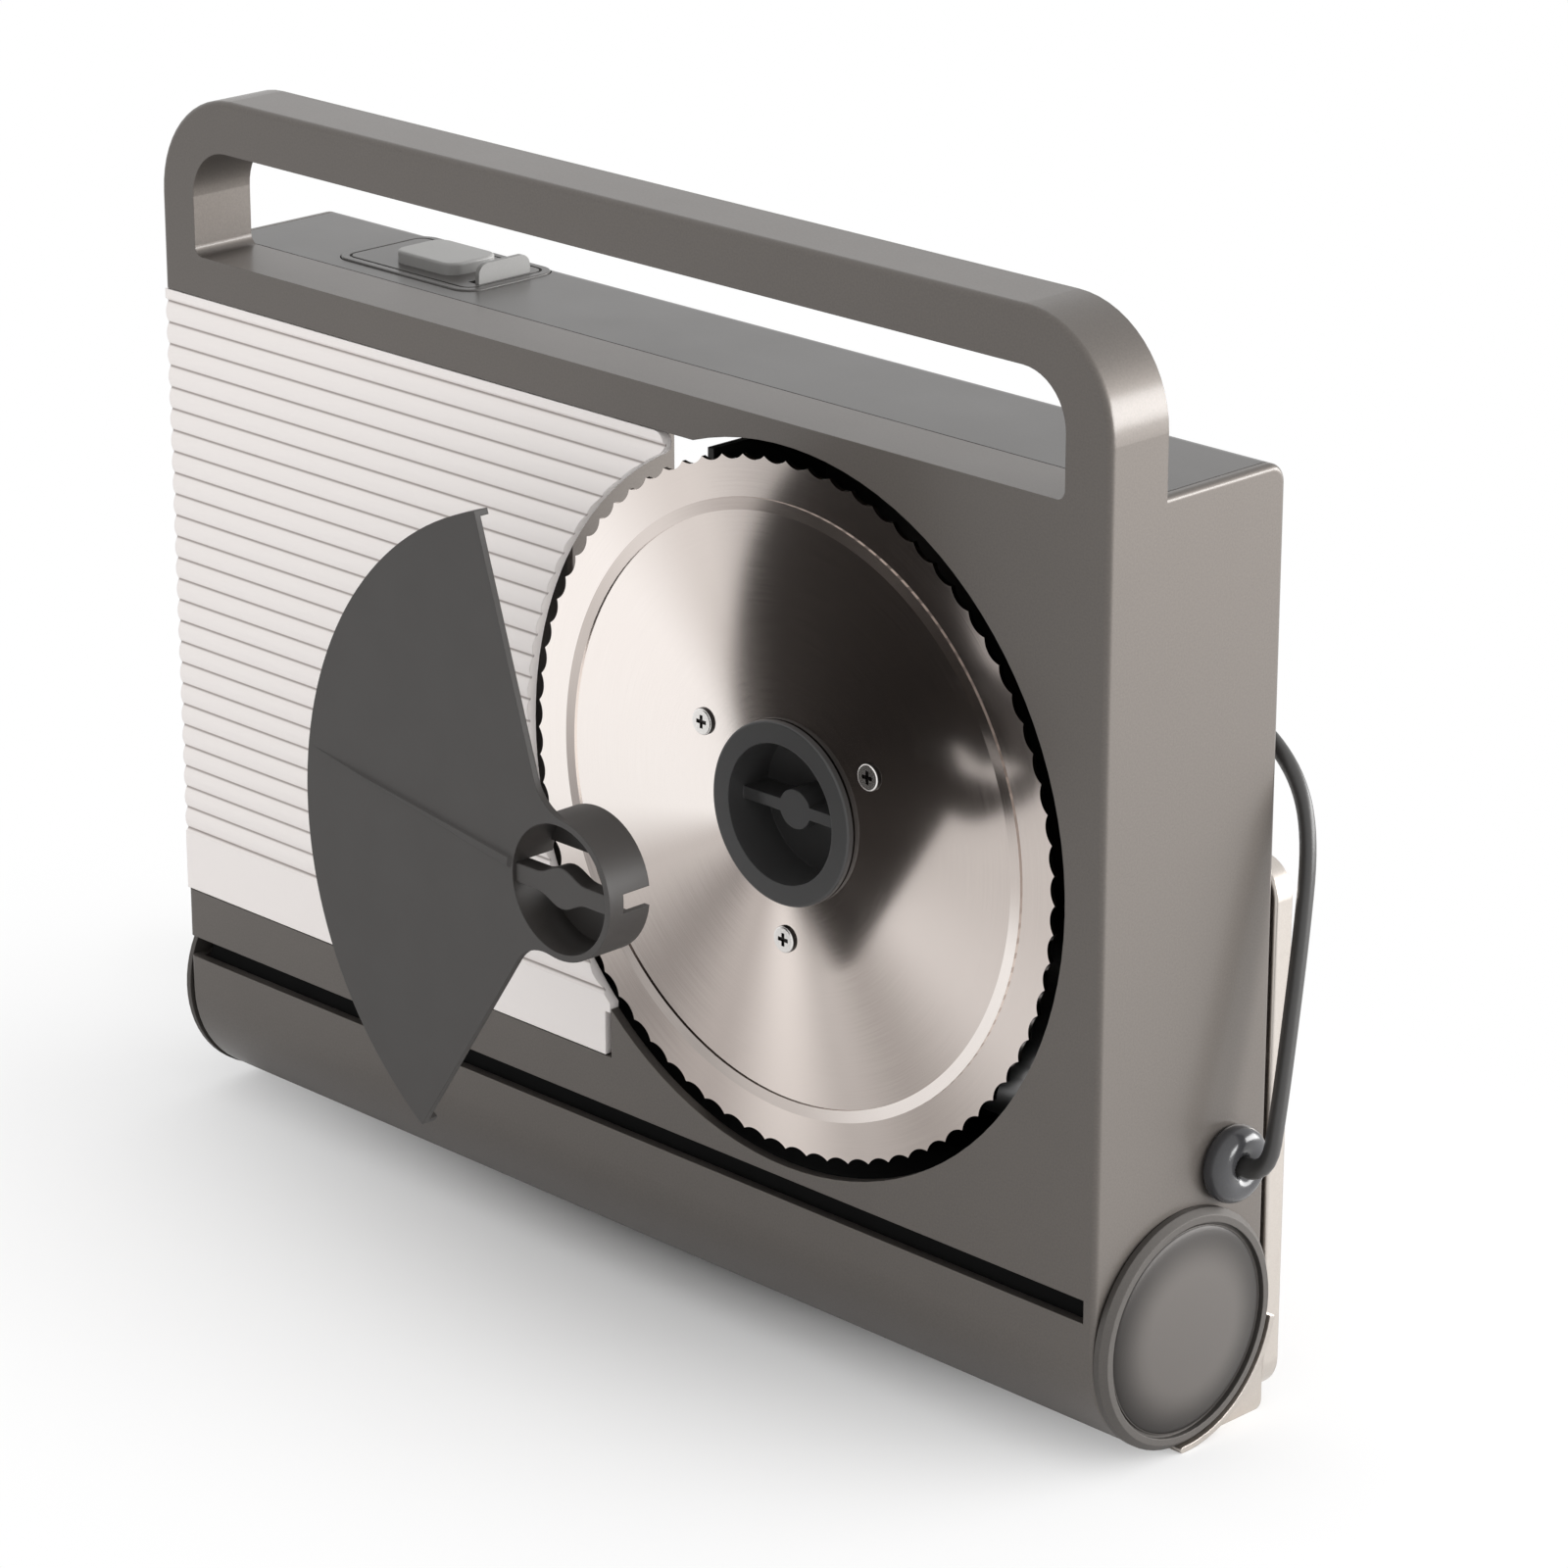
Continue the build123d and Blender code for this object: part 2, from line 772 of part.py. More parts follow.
clip_back = blade_back + gear_flange + gear_width + lock_floor
with BuildPart() as axle_clip:
    with BuildSketch(front(clip_back + clip_thickness)):
        with Locations((blade_x, blade_z)):
            Circle(clip_radius)
            Circle(axle_radius, mode=Mode.SUBTRACT)
    extrude(amount=clip_thickness)
keep(axle_clip, "axle_clip")

# Motor: can, magnets, end bushes and its two screws
with BuildPart() as motor_can:
    with BuildSketch(side(motor_start)):
        with Locations((mesh_y, shaft_z)):
            Circle(motor_radius)
    extrude(amount=motor_length)
    fillet(edges().group_by(Axis.X)[-1], motor_skin)
    with BuildSketch(side(motor_start + motor_skin)):
        with Locations((mesh_y, shaft_z)):
            Circle(motor_radius - motor_skin)
    extrude(amount=motor_length - 2 * motor_skin, mode=Mode.SUBTRACT)
    with BuildSketch(side(motor_start)):
        with Locations((mesh_y, shaft_z)):
            Circle(bearing_radius)
        with Locations((mesh_y, shaft_z + motor_screw_circle), (mesh_y, shaft_z - motor_screw_circle)):
            Circle(motor_screw_radius)
    extrude(amount=motor_length - motor_skin, mode=Mode.SUBTRACT)
    with BuildSketch(side(motor_start + motor_length - motor_skin)):
        with Locations((mesh_y, shaft_z)):
            Circle(bearing_radius)
    extrude(amount=motor_skin, mode=Mode.SUBTRACT)
keep(motor_can, "motor_can")

magnet_start = motor_start + motor_length / 2 - magnet_length / 2
with BuildPart() as motor_magnets:
    with BuildSketch(side(magnet_start)):
        with Locations((mesh_y, shaft_z)):
            Circle(motor_radius - motor_skin)
            Circle(armature_radius + seam, mode=Mode.SUBTRACT)
            Rectangle(armature_radius, motor_radius * 2, mode=Mode.SUBTRACT)
    extrude(amount=magnet_length)
keep(motor_magnets, "motor_magnets")

bush_starts = [shaft_start + seat, motor_start - bracket_skin, motor_start + motor_length - motor_skin]
with BuildPart() as motor_bushes:
    for bush_start in bush_starts:
        with BuildSketch(side(bush_start)):
            with Locations((mesh_y, shaft_z)):
                Circle(bearing_radius)
                Circle(shaft_radius + running_fit, mode=Mode.SUBTRACT)
        extrude(amount=bearing_length if bush_start < motor_start + bracket_skin else motor_skin)
keep(motor_bushes, "motor_bushes")

with BuildPart() as motor_screws:
    with BuildSketch(side(bracket_x)):
        with Locations((mesh_y, shaft_z + motor_screw_circle), (mesh_y, shaft_z - motor_screw_circle)):
            Circle(motor_screw_radius)
    extrude(amount=bracket_skin + motor_skin)
    with BuildSketch(side(bracket_x)):
        with Locations((mesh_y, shaft_z + motor_screw_circle), (mesh_y, shaft_z - motor_screw_circle)):
            Circle(motor_screw_radius * 2)
    extrude(amount=-motor_screw_radius)
keep(motor_screws, "motor_screws")

# What turns in the motor: shaft with the worm's core, armature and cooling fan
with BuildPart() as motor_shaft:
    with BuildSketch(side(shaft_start)):
        with Locations((mesh_y, shaft_z)):
            Circle(shaft_radius)
    extrude(amount=motor_start + motor_length - shaft_start)
    with BuildSketch(side(worm_start)):
        with Locations((mesh_y, shaft_z)):
            Circle(worm_radius)
    extrude(amount=worm_end - worm_start)
    chamfer(edges().filter_by(GeomType.CIRCLE).group_by(Axis.X)[-1], shaft_radius / 4)
keep(motor_shaft, "motor_shaft")

with BuildPart() as armature:
    with BuildSketch(side(motor_start + motor_length / 2 - armature_length / 2)):
        with Locations((mesh_y, shaft_z)):
            Circle(armature_radius)
            with PolarLocations(armature_radius, fan_blades):
                Circle(flute_radius, mode=Mode.SUBTRACT)
            Circle(shaft_radius, mode=Mode.SUBTRACT)
    extrude(amount=armature_length)
keep(armature, "armature")

fan_start = motor_start + motor_skin + bearing_length - bracket_skin
with BuildPart() as motor_fan:
    with BuildSketch(side(fan_start)):
        with Locations((mesh_y, shaft_z)):
            Circle(fan_hub)
            with PolarLocations((fan_radius + shaft_radius) / 2, fan_blades):
                Rectangle(fan_radius - shaft_radius, fan_skin)
            Circle(shaft_radius, mode=Mode.SUBTRACT)
    extrude(amount=fan_length)
keep(motor_fan, "motor_fan")

# Blade: scalloped edge, raised bead and three screw holes
screw_places = [polar(screw_circle, angle) for angle in (30, 150, 270)]
with BuildPart() as blade:
    with BuildSketch(front(blade_back)):
        with BuildLine():
            for k in range(tooth_count):
                start = 360 * k / tooth_count
                ThreePointArc(
                    polar(blade_radius, start),
                    polar(blade_radius - tooth_depth, start + 180 / tooth_count),
                    polar(blade_radius, start + 360 / tooth_count),
                )
        make_face()
    extrude(amount=blade_thickness)
    with BuildSketch(front(blade_front)):
        with Locations((blade_x, blade_z)):
            Circle(bead_radius + bead_width / 2)
            Circle(bead_radius - bead_width / 2, mode=Mode.SUBTRACT)
    extrude(amount=bead_rise)
    with BuildSketch(front(blade_back)):
        with Locations((blade_x, blade_z)):
            Circle(blade_bore)
        with Locations(*screw_places):
            Circle(screw_radius)
    extrude(amount=blade_thickness, mode=Mode.SUBTRACT)
keep(blade, "blade")

# Gear that carries the blade
root_radius = gear_module * (gear_teeth / 2 - 1.25)
tip_radius = gear_module * (gear_teeth / 2 + 1)
tooth_turn = 360 / gear_teeth
tooth_shares = (0.3, 0.48, 0.72, 0.9)
with BuildPart() as blade_gear:
    with BuildSketch(front(blade_back)):
        with Locations((blade_x, blade_z)):
            Circle(gear_flange_radius)
    extrude(amount=-gear_flange)
    with BuildSketch(front(blade_back)):
        with Locations((blade_x, blade_z)):
            Circle(gear_neck_radius)
    extrude(amount=-(gear_back - blade_back))
    with BuildSketch(front(gear_front)):
        with BuildLine():
            for k in range(gear_teeth):
                start = tooth_turn * k
                rise, tip_start, tip_end, fall = [start + tooth_turn * share for share in tooth_shares]
                Polyline(
                    polar(root_radius, start),
                    polar(root_radius, rise),
                    polar(tip_radius, tip_start),
                    polar(tip_radius, tip_end),
                    polar(root_radius, fall),
                    polar(root_radius, start + tooth_turn),
                )
        make_face()
    extrude(amount=-gear_width)
    with BuildSketch(front(gear_back)):
        with Locations((blade_x, blade_z)):
            Circle(axle_boss)
    extrude(amount=-(hub_back - gear_back))
    with BuildSketch(front(blade_back)):
        with Locations((blade_x, blade_z)):
            Circle(blade_bore)
        with Locations(*screw_places):
            Circle(screw_radius)
    extrude(amount=-(screw_length - blade_thickness), mode=Mode.SUBTRACT)
    with BuildSketch(front(blade_back)):
        with Locations((blade_x, blade_z)):
            Circle(blade_bore)
    extrude(amount=-(clip_back + clip_thickness + seat - blade_back), mode=Mode.SUBTRACT)
    with BuildSketch(front(blade_back)):
        with Locations((blade_x, blade_z)):
            Circle(bush_radius)
    extrude(amount=-body_depth, mode=Mode.SUBTRACT)
keep(blade_gear, "blade_gear")

with BuildPart() as gear_bush:
    with BuildSketch(front(clip_back + clip_thickness + seat)):
        with Locations((blade_x, blade_z)):
            Circle(bush_radius)
            Circle(axle_radius + running_fit, mode=Mode.SUBTRACT)
    extrude(amount=-(hub_back - clip_back - clip_thickness - seat))
keep(gear_bush, "gear_bush")

with BuildPart() as blade_screws:
    with BuildSketch(front(blade_front)):
        with Locations(*screw_places):
            Circle(screw_radius)
    extrude(amount=-screw_length)
    with BuildSketch(front(blade_front)):
        with Locations(*screw_places):
            Circle(screw_head)
    extrude(amount=screw_head_rise)
    fillet(edges().group_by(Axis.Y)[0], screw_head_rise / 2)
    with BuildSketch(front(blade_front - screw_head_rise)):
        with Locations(*screw_places):
            Rectangle(screw_head, cross_width)
            Rectangle(cross_width, screw_head)
    extrude(amount=-cross_depth, mode=Mode.SUBTRACT)
keep(blade_screws, "blade_screws")

# Blade lock: cup in the blade's bore, with a grip bar across it
lock_front = blade_front - seam - lock_flange
with BuildPart() as blade_lock:
    with BuildSketch(front(lock_front)):
        with Locations((blade_x, blade_z)):
            Circle(lock_flange_radius)
    extrude(amount=-lock_flange)
    fillet(edges().group_by(Axis.Y)[0], lock_flange / 3)
    with BuildSketch(front(lock_front)):
        with Locations((blade_x, blade_z)):
            Circle(lock_recess_radius + lock_wall)
    extrude(amount=-(lock_floor_front + lock_floor - lock_front))
    with BuildSketch(front(lock_front)):
        with Locations((blade_x, blade_z)):
            Circle(lock_recess_radius)
    extrude(amount=-(lock_floor_front - lock_front), mode=Mode.SUBTRACT)
    with BuildSketch(front(lock_bar_front)):
        with Locations((blade_x, blade_z)):
            Rectangle(lock_recess_radius * 2, lock_bar)
            Ellipse(grip_length / 2, grip_height / 2)
    extrude(amount=-(lock_floor_front - lock_bar_front))
    with BuildSketch(front(lock_bar_front + blade_front - seat)):
        with Locations((blade_x, blade_z)):
            Circle(axle_neck_radius + running_fit)
    extrude(amount=-body_depth, mode=Mode.SUBTRACT)
keep(blade_lock, "blade_lock")

# Blade guard: ring that seats in the lock, and a sector that covers the blade's idle edge
guard_front = -guard_reach
with BuildPart() as blade_guard:
    with BuildSketch(front(guard_front)) as guard_face:
        with BuildLine():
            Line((blade_x, blade_z), polar(guard_radius, guard_top_angle))
            ThreePointArc(
                polar(guard_radius, guard_top_angle),
                polar(guard_radius, (guard_top_angle + guard_bottom_angle) / 2),
                polar(guard_radius, guard_bottom_angle),
            )
            Line(polar(guard_radius, guard_bottom_angle), (blade_x, blade_z))
        make_face()
        with Locations((blade_x, blade_z)):
            Circle(guard_ring_radius)
        centre = Vector(blade_x, blade_z)
        roots = [
            v
            for v in vertices()
            if abs((Vector(v.X, v.Y) - centre).length - guard_ring_radius) < seat
        ]
        fillet(roots, guard_blend)
    extrude(amount=-guard_skin)
    with BuildSketch(front(guard_front)):
        with BuildLine():
            ThreePointArc(
                polar(guard_radius, guard_top_angle),
                polar(guard_radius, (guard_top_angle + guard_bottom_angle) / 2),
                polar(guard_radius, guard_bottom_angle),
            )
            Line(
                polar(guard_radius, guard_bottom_angle),
                polar(guard_radius - guard_lip_skin, guard_bottom_angle),
            )
            ThreePointArc(
                polar(guard_radius - guard_lip_skin, guard_bottom_angle),
                polar(guard_radius - guard_lip_skin, (guard_top_angle + guard_bottom_angle) / 2),
                polar(guard_radius - guard_lip_skin, guard_top_angle),
            )
            Line(
                polar(guard_radius - guard_lip_skin, guard_top_angle),
                polar(guard_radius, guard_top_angle),
            )
        make_face()
    extrude(amount=-guard_lip)
    with BuildSketch(front(guard_front)):
        with Locations((blade_x, blade_z)):
            Circle(guard_ring_radius)
    extrude(amount=-guard_ring_length)
    # Low ridge that tapers from the ring to the rim
    ridge_foot = polar(guard_ring_radius - guard_ring_skin / 2, guard_crease_angle)
    ridge_turn = math.radians(guard_crease_angle + 90)
    ridge_half = guard_crease_width / 2
    ridge_side = (ridge_half * math.cos(ridge_turn), ridge_half * math.sin(ridge_turn))
    with BuildSketch(front(guard_front)):
        with BuildLine():
            Polyline(
                (ridge_foot[0] + ridge_side[0], ridge_foot[1] + ridge_side[1]),
                polar(guard_radius - guard_lip_skin, guard_crease_angle),
                (ridge_foot[0] - ridge_side[0], ridge_foot[1] - ridge_side[1]),
                close=True,
            )
        make_face()
    extrude(amount=guard_crease_rise, taper=30)
    with BuildSketch(front(guard_front)):
        with Locations((blade_x, blade_z)):
            Circle(guard_ring_radius - guard_ring_skin)
    extrude(amount=-guard_ring_length, both=True, mode=Mode.SUBTRACT)
    with BuildSketch(front(guard_front + guard_bar_front)):
        with Locations((blade_x, blade_z)):
            Rectangle((guard_ring_radius - guard_ring_skin / 2) * 2, guard_bar)
            Ellipse(grip_length / 2, grip_height / 2)
    extrude(amount=-guard_bar_depth)
    # Notches that drop over the lock's bar
    with BuildSketch(front(guard_front + guard_ring_length)):
        with Locations((blade_x, blade_z)):
            Rectangle(guard_ring_radius * 2.5, guard_notch)
    extrude(amount=guard_notch_length, mode=Mode.SUBTRACT)
keep(blade_guard, "blade_guard")

# Base: drum in the barrel, end discs, lip round the barrel, core, plate and feet
hinge_line = Axis(place(0, barrel_radius, barrel_radius), (1, 0, 0))
disc_inner = body_width + seam
with BuildPart() as hinge_drum:
    with BuildSketch(side(skin + seam)):
        with Locations((barrel_radius, barrel_radius)):
            Circle(drum_radius)
    extrude(amount=body_width - 2 * (skin + seam))
    with BuildSketch(side(-seam)):
        with Locations((barrel_radius, barrel_radius)):
            Circle(trunnion_radius)
    extrude(amount=body_width + 2 * seam)
    with BuildSketch(side(skin + seam + drum_wall)):
        with Locations((barrel_radius, barrel_radius)):
            Circle(drum_radius - drum_wall)
    extrude(amount=body_width - 2 * (skin + seam + drum_wall), mode=Mode.SUBTRACT)
    with BuildSketch(side(-seam)):
        with Locations((barrel_radius, barrel_radius)):
            Circle(trunnion_bore)
    extrude(amount=body_width + 2 * seam, mode=Mode.SUBTRACT)
keep(hinge_drum, "hinge_drum")

disc_radius = cradle_inner - seat
dome_radius = disc_radius - disc_ring - disc_groove
dome_top = disc_proud - disc_groove + dome_rise
ball_radius = (dome_radius**2 + dome_rise**2) / (2 * dome_rise)
with BuildPart() as hinge_discs:
    with BuildSketch(Plane(origin=place(disc_inner, barrel_radius, barrel_radius))):
        with BuildLine():
            Polyline(
                (0, 0),
                (0, disc_radius),
                (disc_proud - edge_round, disc_radius),
                (disc_proud, disc_radius - edge_round),
                (disc_proud, disc_radius - disc_ring),
                (disc_proud - dome_rise, disc_radius - disc_ring),
                (disc_proud - dome_rise, dome_radius),
                (disc_proud - disc_groove, dome_radius),
            )
            ThreePointArc(
                (disc_proud - disc_groove, dome_radius),
                (dome_top - ball_radius + math.sqrt(ball_radius**2 - dome_radius**2 / 4), dome_radius / 2),
                (dome_top, 0),
            )
            Line((dome_top, 0), (0, 0))
        make_face()
    revolve(axis=hinge_line)
    mirror(about=Plane.YZ)
keep(hinge_discs, "hinge_discs")

lip_end = -92
lip_start = -math.degrees(math.acos((base_front - barrel_radius) / cradle_outer))
lip_middle = (lip_start + lip_end) / 2
lip_reach = seam + disc_proud
with BuildPart() as cradle_lip:
    with BuildSketch(side(-lip_reach)):
        with BuildLine():
            ThreePointArc(
                around(cradle_inner, lip_start),
                around(cradle_inner, lip_middle),
                around(cradle_inner, lip_end),
            )
            ThreePointArc(
                around(cradle_inner, lip_end),
                around(cradle_inner + cradle_skin / 2, lip_end - cradle_skin),
                around(cradle_outer, lip_end),
            )
            ThreePointArc(
                around(cradle_outer, lip_end),
                around(cradle_outer, lip_middle),
                around(cradle_outer, lip_start),
            )
            Line(around(cradle_outer, lip_start), around(cradle_inner, lip_start))
        make_face()
    extrude(amount=body_width + 2 * lip_reach)
keep(cradle_lip, "cradle_lip")

core_top = around(cradle_outer, lip_start)[1]
with BuildPart() as cradle_core:
    with BuildSketch(side()):
        with Locations((barrel_radius + core_start, -lift)):
            Rectangle(
                base_front - barrel_radius - core_start,
                core_top + lift,
                align=(Align.MIN, Align.MIN),
            )
        fillet(vertices().group_by(Axis.Y)[0].sort_by(Axis.X)[-1], core_start / 3)
        with Locations((barrel_radius, barrel_radius)):
            Circle(cradle_outer, mode=Mode.SUBTRACT)
    extrude(amount=body_width)
keep(cradle_core, "cradle_core")

foot_places = [
    (foot_inset, foot_inset),
    (body_width - foot_inset, foot_inset),
    (foot_inset, base_length - foot_inset),
    (body_width - foot_inset, base_length - foot_inset),
]
with BuildPart() as base_plate:
    with BuildSketch(front(base_front)):
        with Locations((body_width / 2, base_length / 2)):
            RectangleRounded(body_width, base_length, base_corner)
    extrude(amount=-base_thickness)
    fillet(edges().group_by(Axis.Y)[0], base_skin / 2)
    with BuildSketch(front(base_front + base_skin)):
        with Locations((body_width / 2, base_length / 2)):
            RectangleRounded(
                body_width - 2 * base_skin,
                base_length - 2 * base_skin,
                base_corner - base_skin,
            )
    extrude(amount=-base_thickness, mode=Mode.SUBTRACT)
keep(base_plate, "base_plate")

with BuildPart() as rubber_feet:
    with BuildSketch(front(base_front + base_skin)):
        with Locations(*foot_places):
            Circle(foot_radius)
    extrude(amount=-(base_thickness - base_skin + foot_proud), taper=3)
keep(rubber_feet, "rubber_feet")

# Catch above the folded base, which slides up in the rear cover
with BuildPart() as fold_catch:
    catch_z = catch_bottom + catch_width / 2
    with BuildSketch(front(body_depth + catch_reach)):
        with Locations((catch_x, catch_z)):
            Circle(catch_width / 2)
    extrude(amount=catch_reach + skin + slide_gap)
    fillet(edges().group_by(Axis.Y)[-1], catch_width / 3)
    with BuildSketch(front(rear_inside - slide_gap)):
        with Locations((catch_x, catch_z)):
            Circle(catch_width / 2 + skin)
    extrude(amount=skin)
keep(fold_catch, "fold_catch")

# Switch: frame with its cup, button, locking tab, contact block and spring
frame_under = top_inside - bezel_flange_skin
sole_top = frame_under - slide_gap
cup_length = switch_length - cup_wall * 2
cup_width = switch_width - cup_inset
cup_floor = frame_under - cup_depth + cup_wall
tab_right = tab_x + tab_thickness / 2
tab_sole_width = tab_length + cup_inset
with BuildPart() as switch_frame:
    with BuildSketch(level(frame_under)):
        with Locations((switch_x, switch_y)):
            RectangleRounded(switch_length - 2 * seam, switch_width - 2 * seam, switch_round - seam)
    extrude(amount=box_height + bezel_rise - frame_under)
    fillet(edges().group_by(Axis.Z)[-1], bezel_rise)
    with BuildSketch(level(frame_under)):
        with Locations((switch_x, switch_y)):
            Rectangle(switch_length + 2 * bezel_flange, switch_width - 2 * seam)
    extrude(amount=bezel_flange_skin)
    with BuildSketch(level(box_height + bezel_rise - bezel_groove)):
        with Locations((switch_x, switch_y)):
            RectangleRounded(
                switch_length - 2 * bezel_rim,
                switch_width - 2 * bezel_rim,
                switch_round - bezel_rim,
            )
            RectangleRounded(
                switch_length - 2 * (bezel_rim + bezel_groove),
                switch_width - 2 * (bezel_rim + bezel_groove),
                switch_round - bezel_rim - bezel_groove,
                mode=Mode.SUBTRACT,
            )
    extrude(amount=bezel_groove, mode=Mode.SUBTRACT)
    with BuildSketch(level(frame_under)):
        with Locations((switch_x, switch_y)):
            Rectangle(cup_length, cup_width)
    extrude(amount=-cup_depth)
    with BuildSketch(level(frame_under)):
        with Locations((switch_x, switch_y)):
            Rectangle(cup_length - 2 * cup_wall, cup_width - 2 * cup_wall)
    extrude(amount=-(cup_depth - cup_wall), mode=Mode.SUBTRACT)
    # Rails under the tab
    rail_left = tab_right - tab_sole - tab_travel - cup_wall / 2
    rail_right = switch_x + cup_length / 2 - cup_wall / 2
    with BuildSketch(level(sole_top - tab_sole_skin - slide_gap)):
        with Locations((rail_left, switch_y)):
            Rectangle(rail_right - rail_left, cup_width - cup_wall, align=(Align.MIN, Align.CENTER))
            Rectangle(
                rail_right - rail_left,
                tab_sole_width - 2 * cup_wall,
                align=(Align.MIN, Align.CENTER),
                mode=Mode.SUBTRACT,
            )
    extrude(amount=-cup_wall)
    # Windows for the button and the tab
    with BuildSketch(level(box_height + overrun)):
        with Locations((button_x, button_y)):
            RectangleRounded(button_length + 2 * slide_gap, button_width + 2 * slide_gap, button_round)
        with Locations((tab_right + slide_gap, switch_y)):
            Rectangle(
                tab_thickness + tab_travel + 2 * slide_gap,
                tab_length + 2 * slide_gap,
                align=(Align.MAX, Align.CENTER),
            )
    extrude(amount=-(box_height + overrun - frame_under), mode=Mode.SUBTRACT)
keep(switch_frame, "switch_frame")

with BuildPart() as switch_button:
    with BuildSketch(level(sole_top - button_sole)):
        with Locations((button_x, button_y)):
            RectangleRounded(button_length, button_width, button_round - slide_gap)
    extrude(amount=box_height + button_rise - sole_top + button_sole)
    fillet(edges().group_by(Axis.Z)[-1], button_crown)
    with BuildSketch(level(sole_top - button_sole)):
        with Locations((button_x, button_y)):
            RectangleRounded(button_length + 2 * button_sole, button_width + 2 * button_sole, button_round)
    extrude(amount=button_sole)
keep(switch_button, "switch_button")

with BuildPart() as lock_tab:
    with BuildSketch(side(tab_right)):
        with Locations((switch_y, sole_top - tab_sole_skin)):
            Rectangle(
                tab_length,
                box_height + tab_rise - sole_top + tab_sole_skin,
                align=(Align.CENTER, Align.MIN),
            )
        fillet(vertices().group_by(Axis.Y)[-1], tab_round)
    extrude(amount=-tab_thickness)
    with BuildSketch(level(sole_top - tab_sole_skin)):
        with Locations((tab_right, switch_y)):
            Rectangle(tab_sole, tab_sole_width, align=(Align.MAX, Align.CENTER))
    extrude(amount=tab_sole_skin)
keep(lock_tab, "lock_tab")

contact_x = button_x + button_length / 3
spring_x = button_x - button_length / 4
button_foot = sole_top - button_sole
with BuildPart() as microswitch:
    with BuildSketch(level(cup_floor)):
        with Locations((contact_x, button_y)):
            Rectangle(microswitch_width, microswitch_length)
    extrude(amount=microswitch_height)
    with BuildSketch(level(cup_floor)):
        with Locations((contact_x, button_y)):
            Circle(microswitch_width / 4)
    extrude(amount=button_foot - button_travel - slide_gap - cup_floor)
keep(microswitch, "microswitch")

with BuildPart() as switch_spring:
    with BuildSketch(level(cup_floor)):
        with Locations((spring_x, button_y)):
            Circle(spring_radius)
            Circle(spring_radius - spring_wire, mode=Mode.SUBTRACT)
    extrude(amount=button_foot - cup_floor)
keep(switch_spring, "switch_spring")

# Cord gland: rolled rubber ring outside, neck through the wall, sleeve inside
gland_line = Axis(place(0, gland_y, gland_z), (1, 0, 0))
with BuildPart() as cord_gland:
    with BuildSketch(Plane(origin=place(body_width, gland_y, gland_z))):
        with Locations((gland_seat, gland_ring)):
            Circle(gland_roll)
        Rectangle(gland_seat, gland_ring, align=(Align.MIN, Align.MIN))
        with Locations((0, 0)):
            Rectangle(overrun, overrun, align=(Align.MAX, Align.MIN), mode=Mode.SUBTRACT)
            Rectangle(gland_depth + skin, gland_neck, align=(Align.MAX, Align.MIN))
        with Locations((-skin, 0)):
            Rectangle(skin, gland_lip, align=(Align.MAX, Align.MIN))
        Rectangle(overrun * 3, cord_radius * 2, mode=Mode.SUBTRACT)
    revolve(axis=gland_line)
keep(cord_gland, "cord_gland")

# Mains cord: out of the gland, up the right side, round the back over both hooks and down to the floor
floor_z = -lift
coil_low = floor_z + tie_skin + tie_gap + cord_radius
coil_high = coil_low + cord_width + cord_gap
coil_start_x = coil_x + coil_radius
coil_start_y = coil_y - coil_lead
cord_route = [
    (311.5, 45, 65.5),
    (322, 45, 65.52),
    (335, 45.02, 65.56),
    (334.6, 48.6, 81),
    (333.4, 53, 100),
    (332.2, 57.4, 121),
    (330.6, 61.2, 140),
    (326.3, 63.2, 152.4),
    (317.6, 64, 161.4),
    (306, 64.2, 166.6),
    (293, 64.2, 169),
    (268, 63.6, 163.6),
    (220, 64.2, 157.6),
    (164, 65, 156),
    (108, 64, 158),
    (60, 63.6, 163),
    (41, 64, 167.2),
    (27, 64.4, 169.2),
    (13, 65.2, 168),
    (2, 66, 162.3),
    (-6.2, 66.6, 152.9),
    (-10, 67, 140),
    (-11.2, 67, 118),
    (-10.8, 66.6, 84),
    (-9.6, 59.4, 52),
    (-9, 54.5, 29.5),
    (-9, 57.5, 17.1),
    (-9, 65.4, 7.2),
    (-9, 76.9, coil_low),
    (coil_start_x, coil_start_y, coil_low),
]


def cord_radii(points):
    """The radius of each inner point's arc: 0.45 of the shorter run over the tangent of half the turn."""
    radii = []
    for before, here, after in zip(points, points[1:], points[2:]):
        turn = (here - before).get_angle(after - here)
        shorter = min((here - before).length, (after - here).length)
        radii.append(0.45 * shorter / math.tan(math.radians(turn / 2)))
    return radii


route = [place(*point) for point in cord_route]
radii = cord_radii(route)
print("cord radii", [round(radius, 1) for radius in radii])
with BuildPart() as cord_run:
    with BuildLine() as run_path:
        FilletPolyline(*route, radius=radii)
    with BuildSketch(Plane(origin=run_path.line @ 0, z_dir=run_path.line % 0)):
        Circle(cord_radius)
    sweep()
keep(cord_run, "cord_run")
print("cord run length", round(run_path.wires()[0].length, 1))

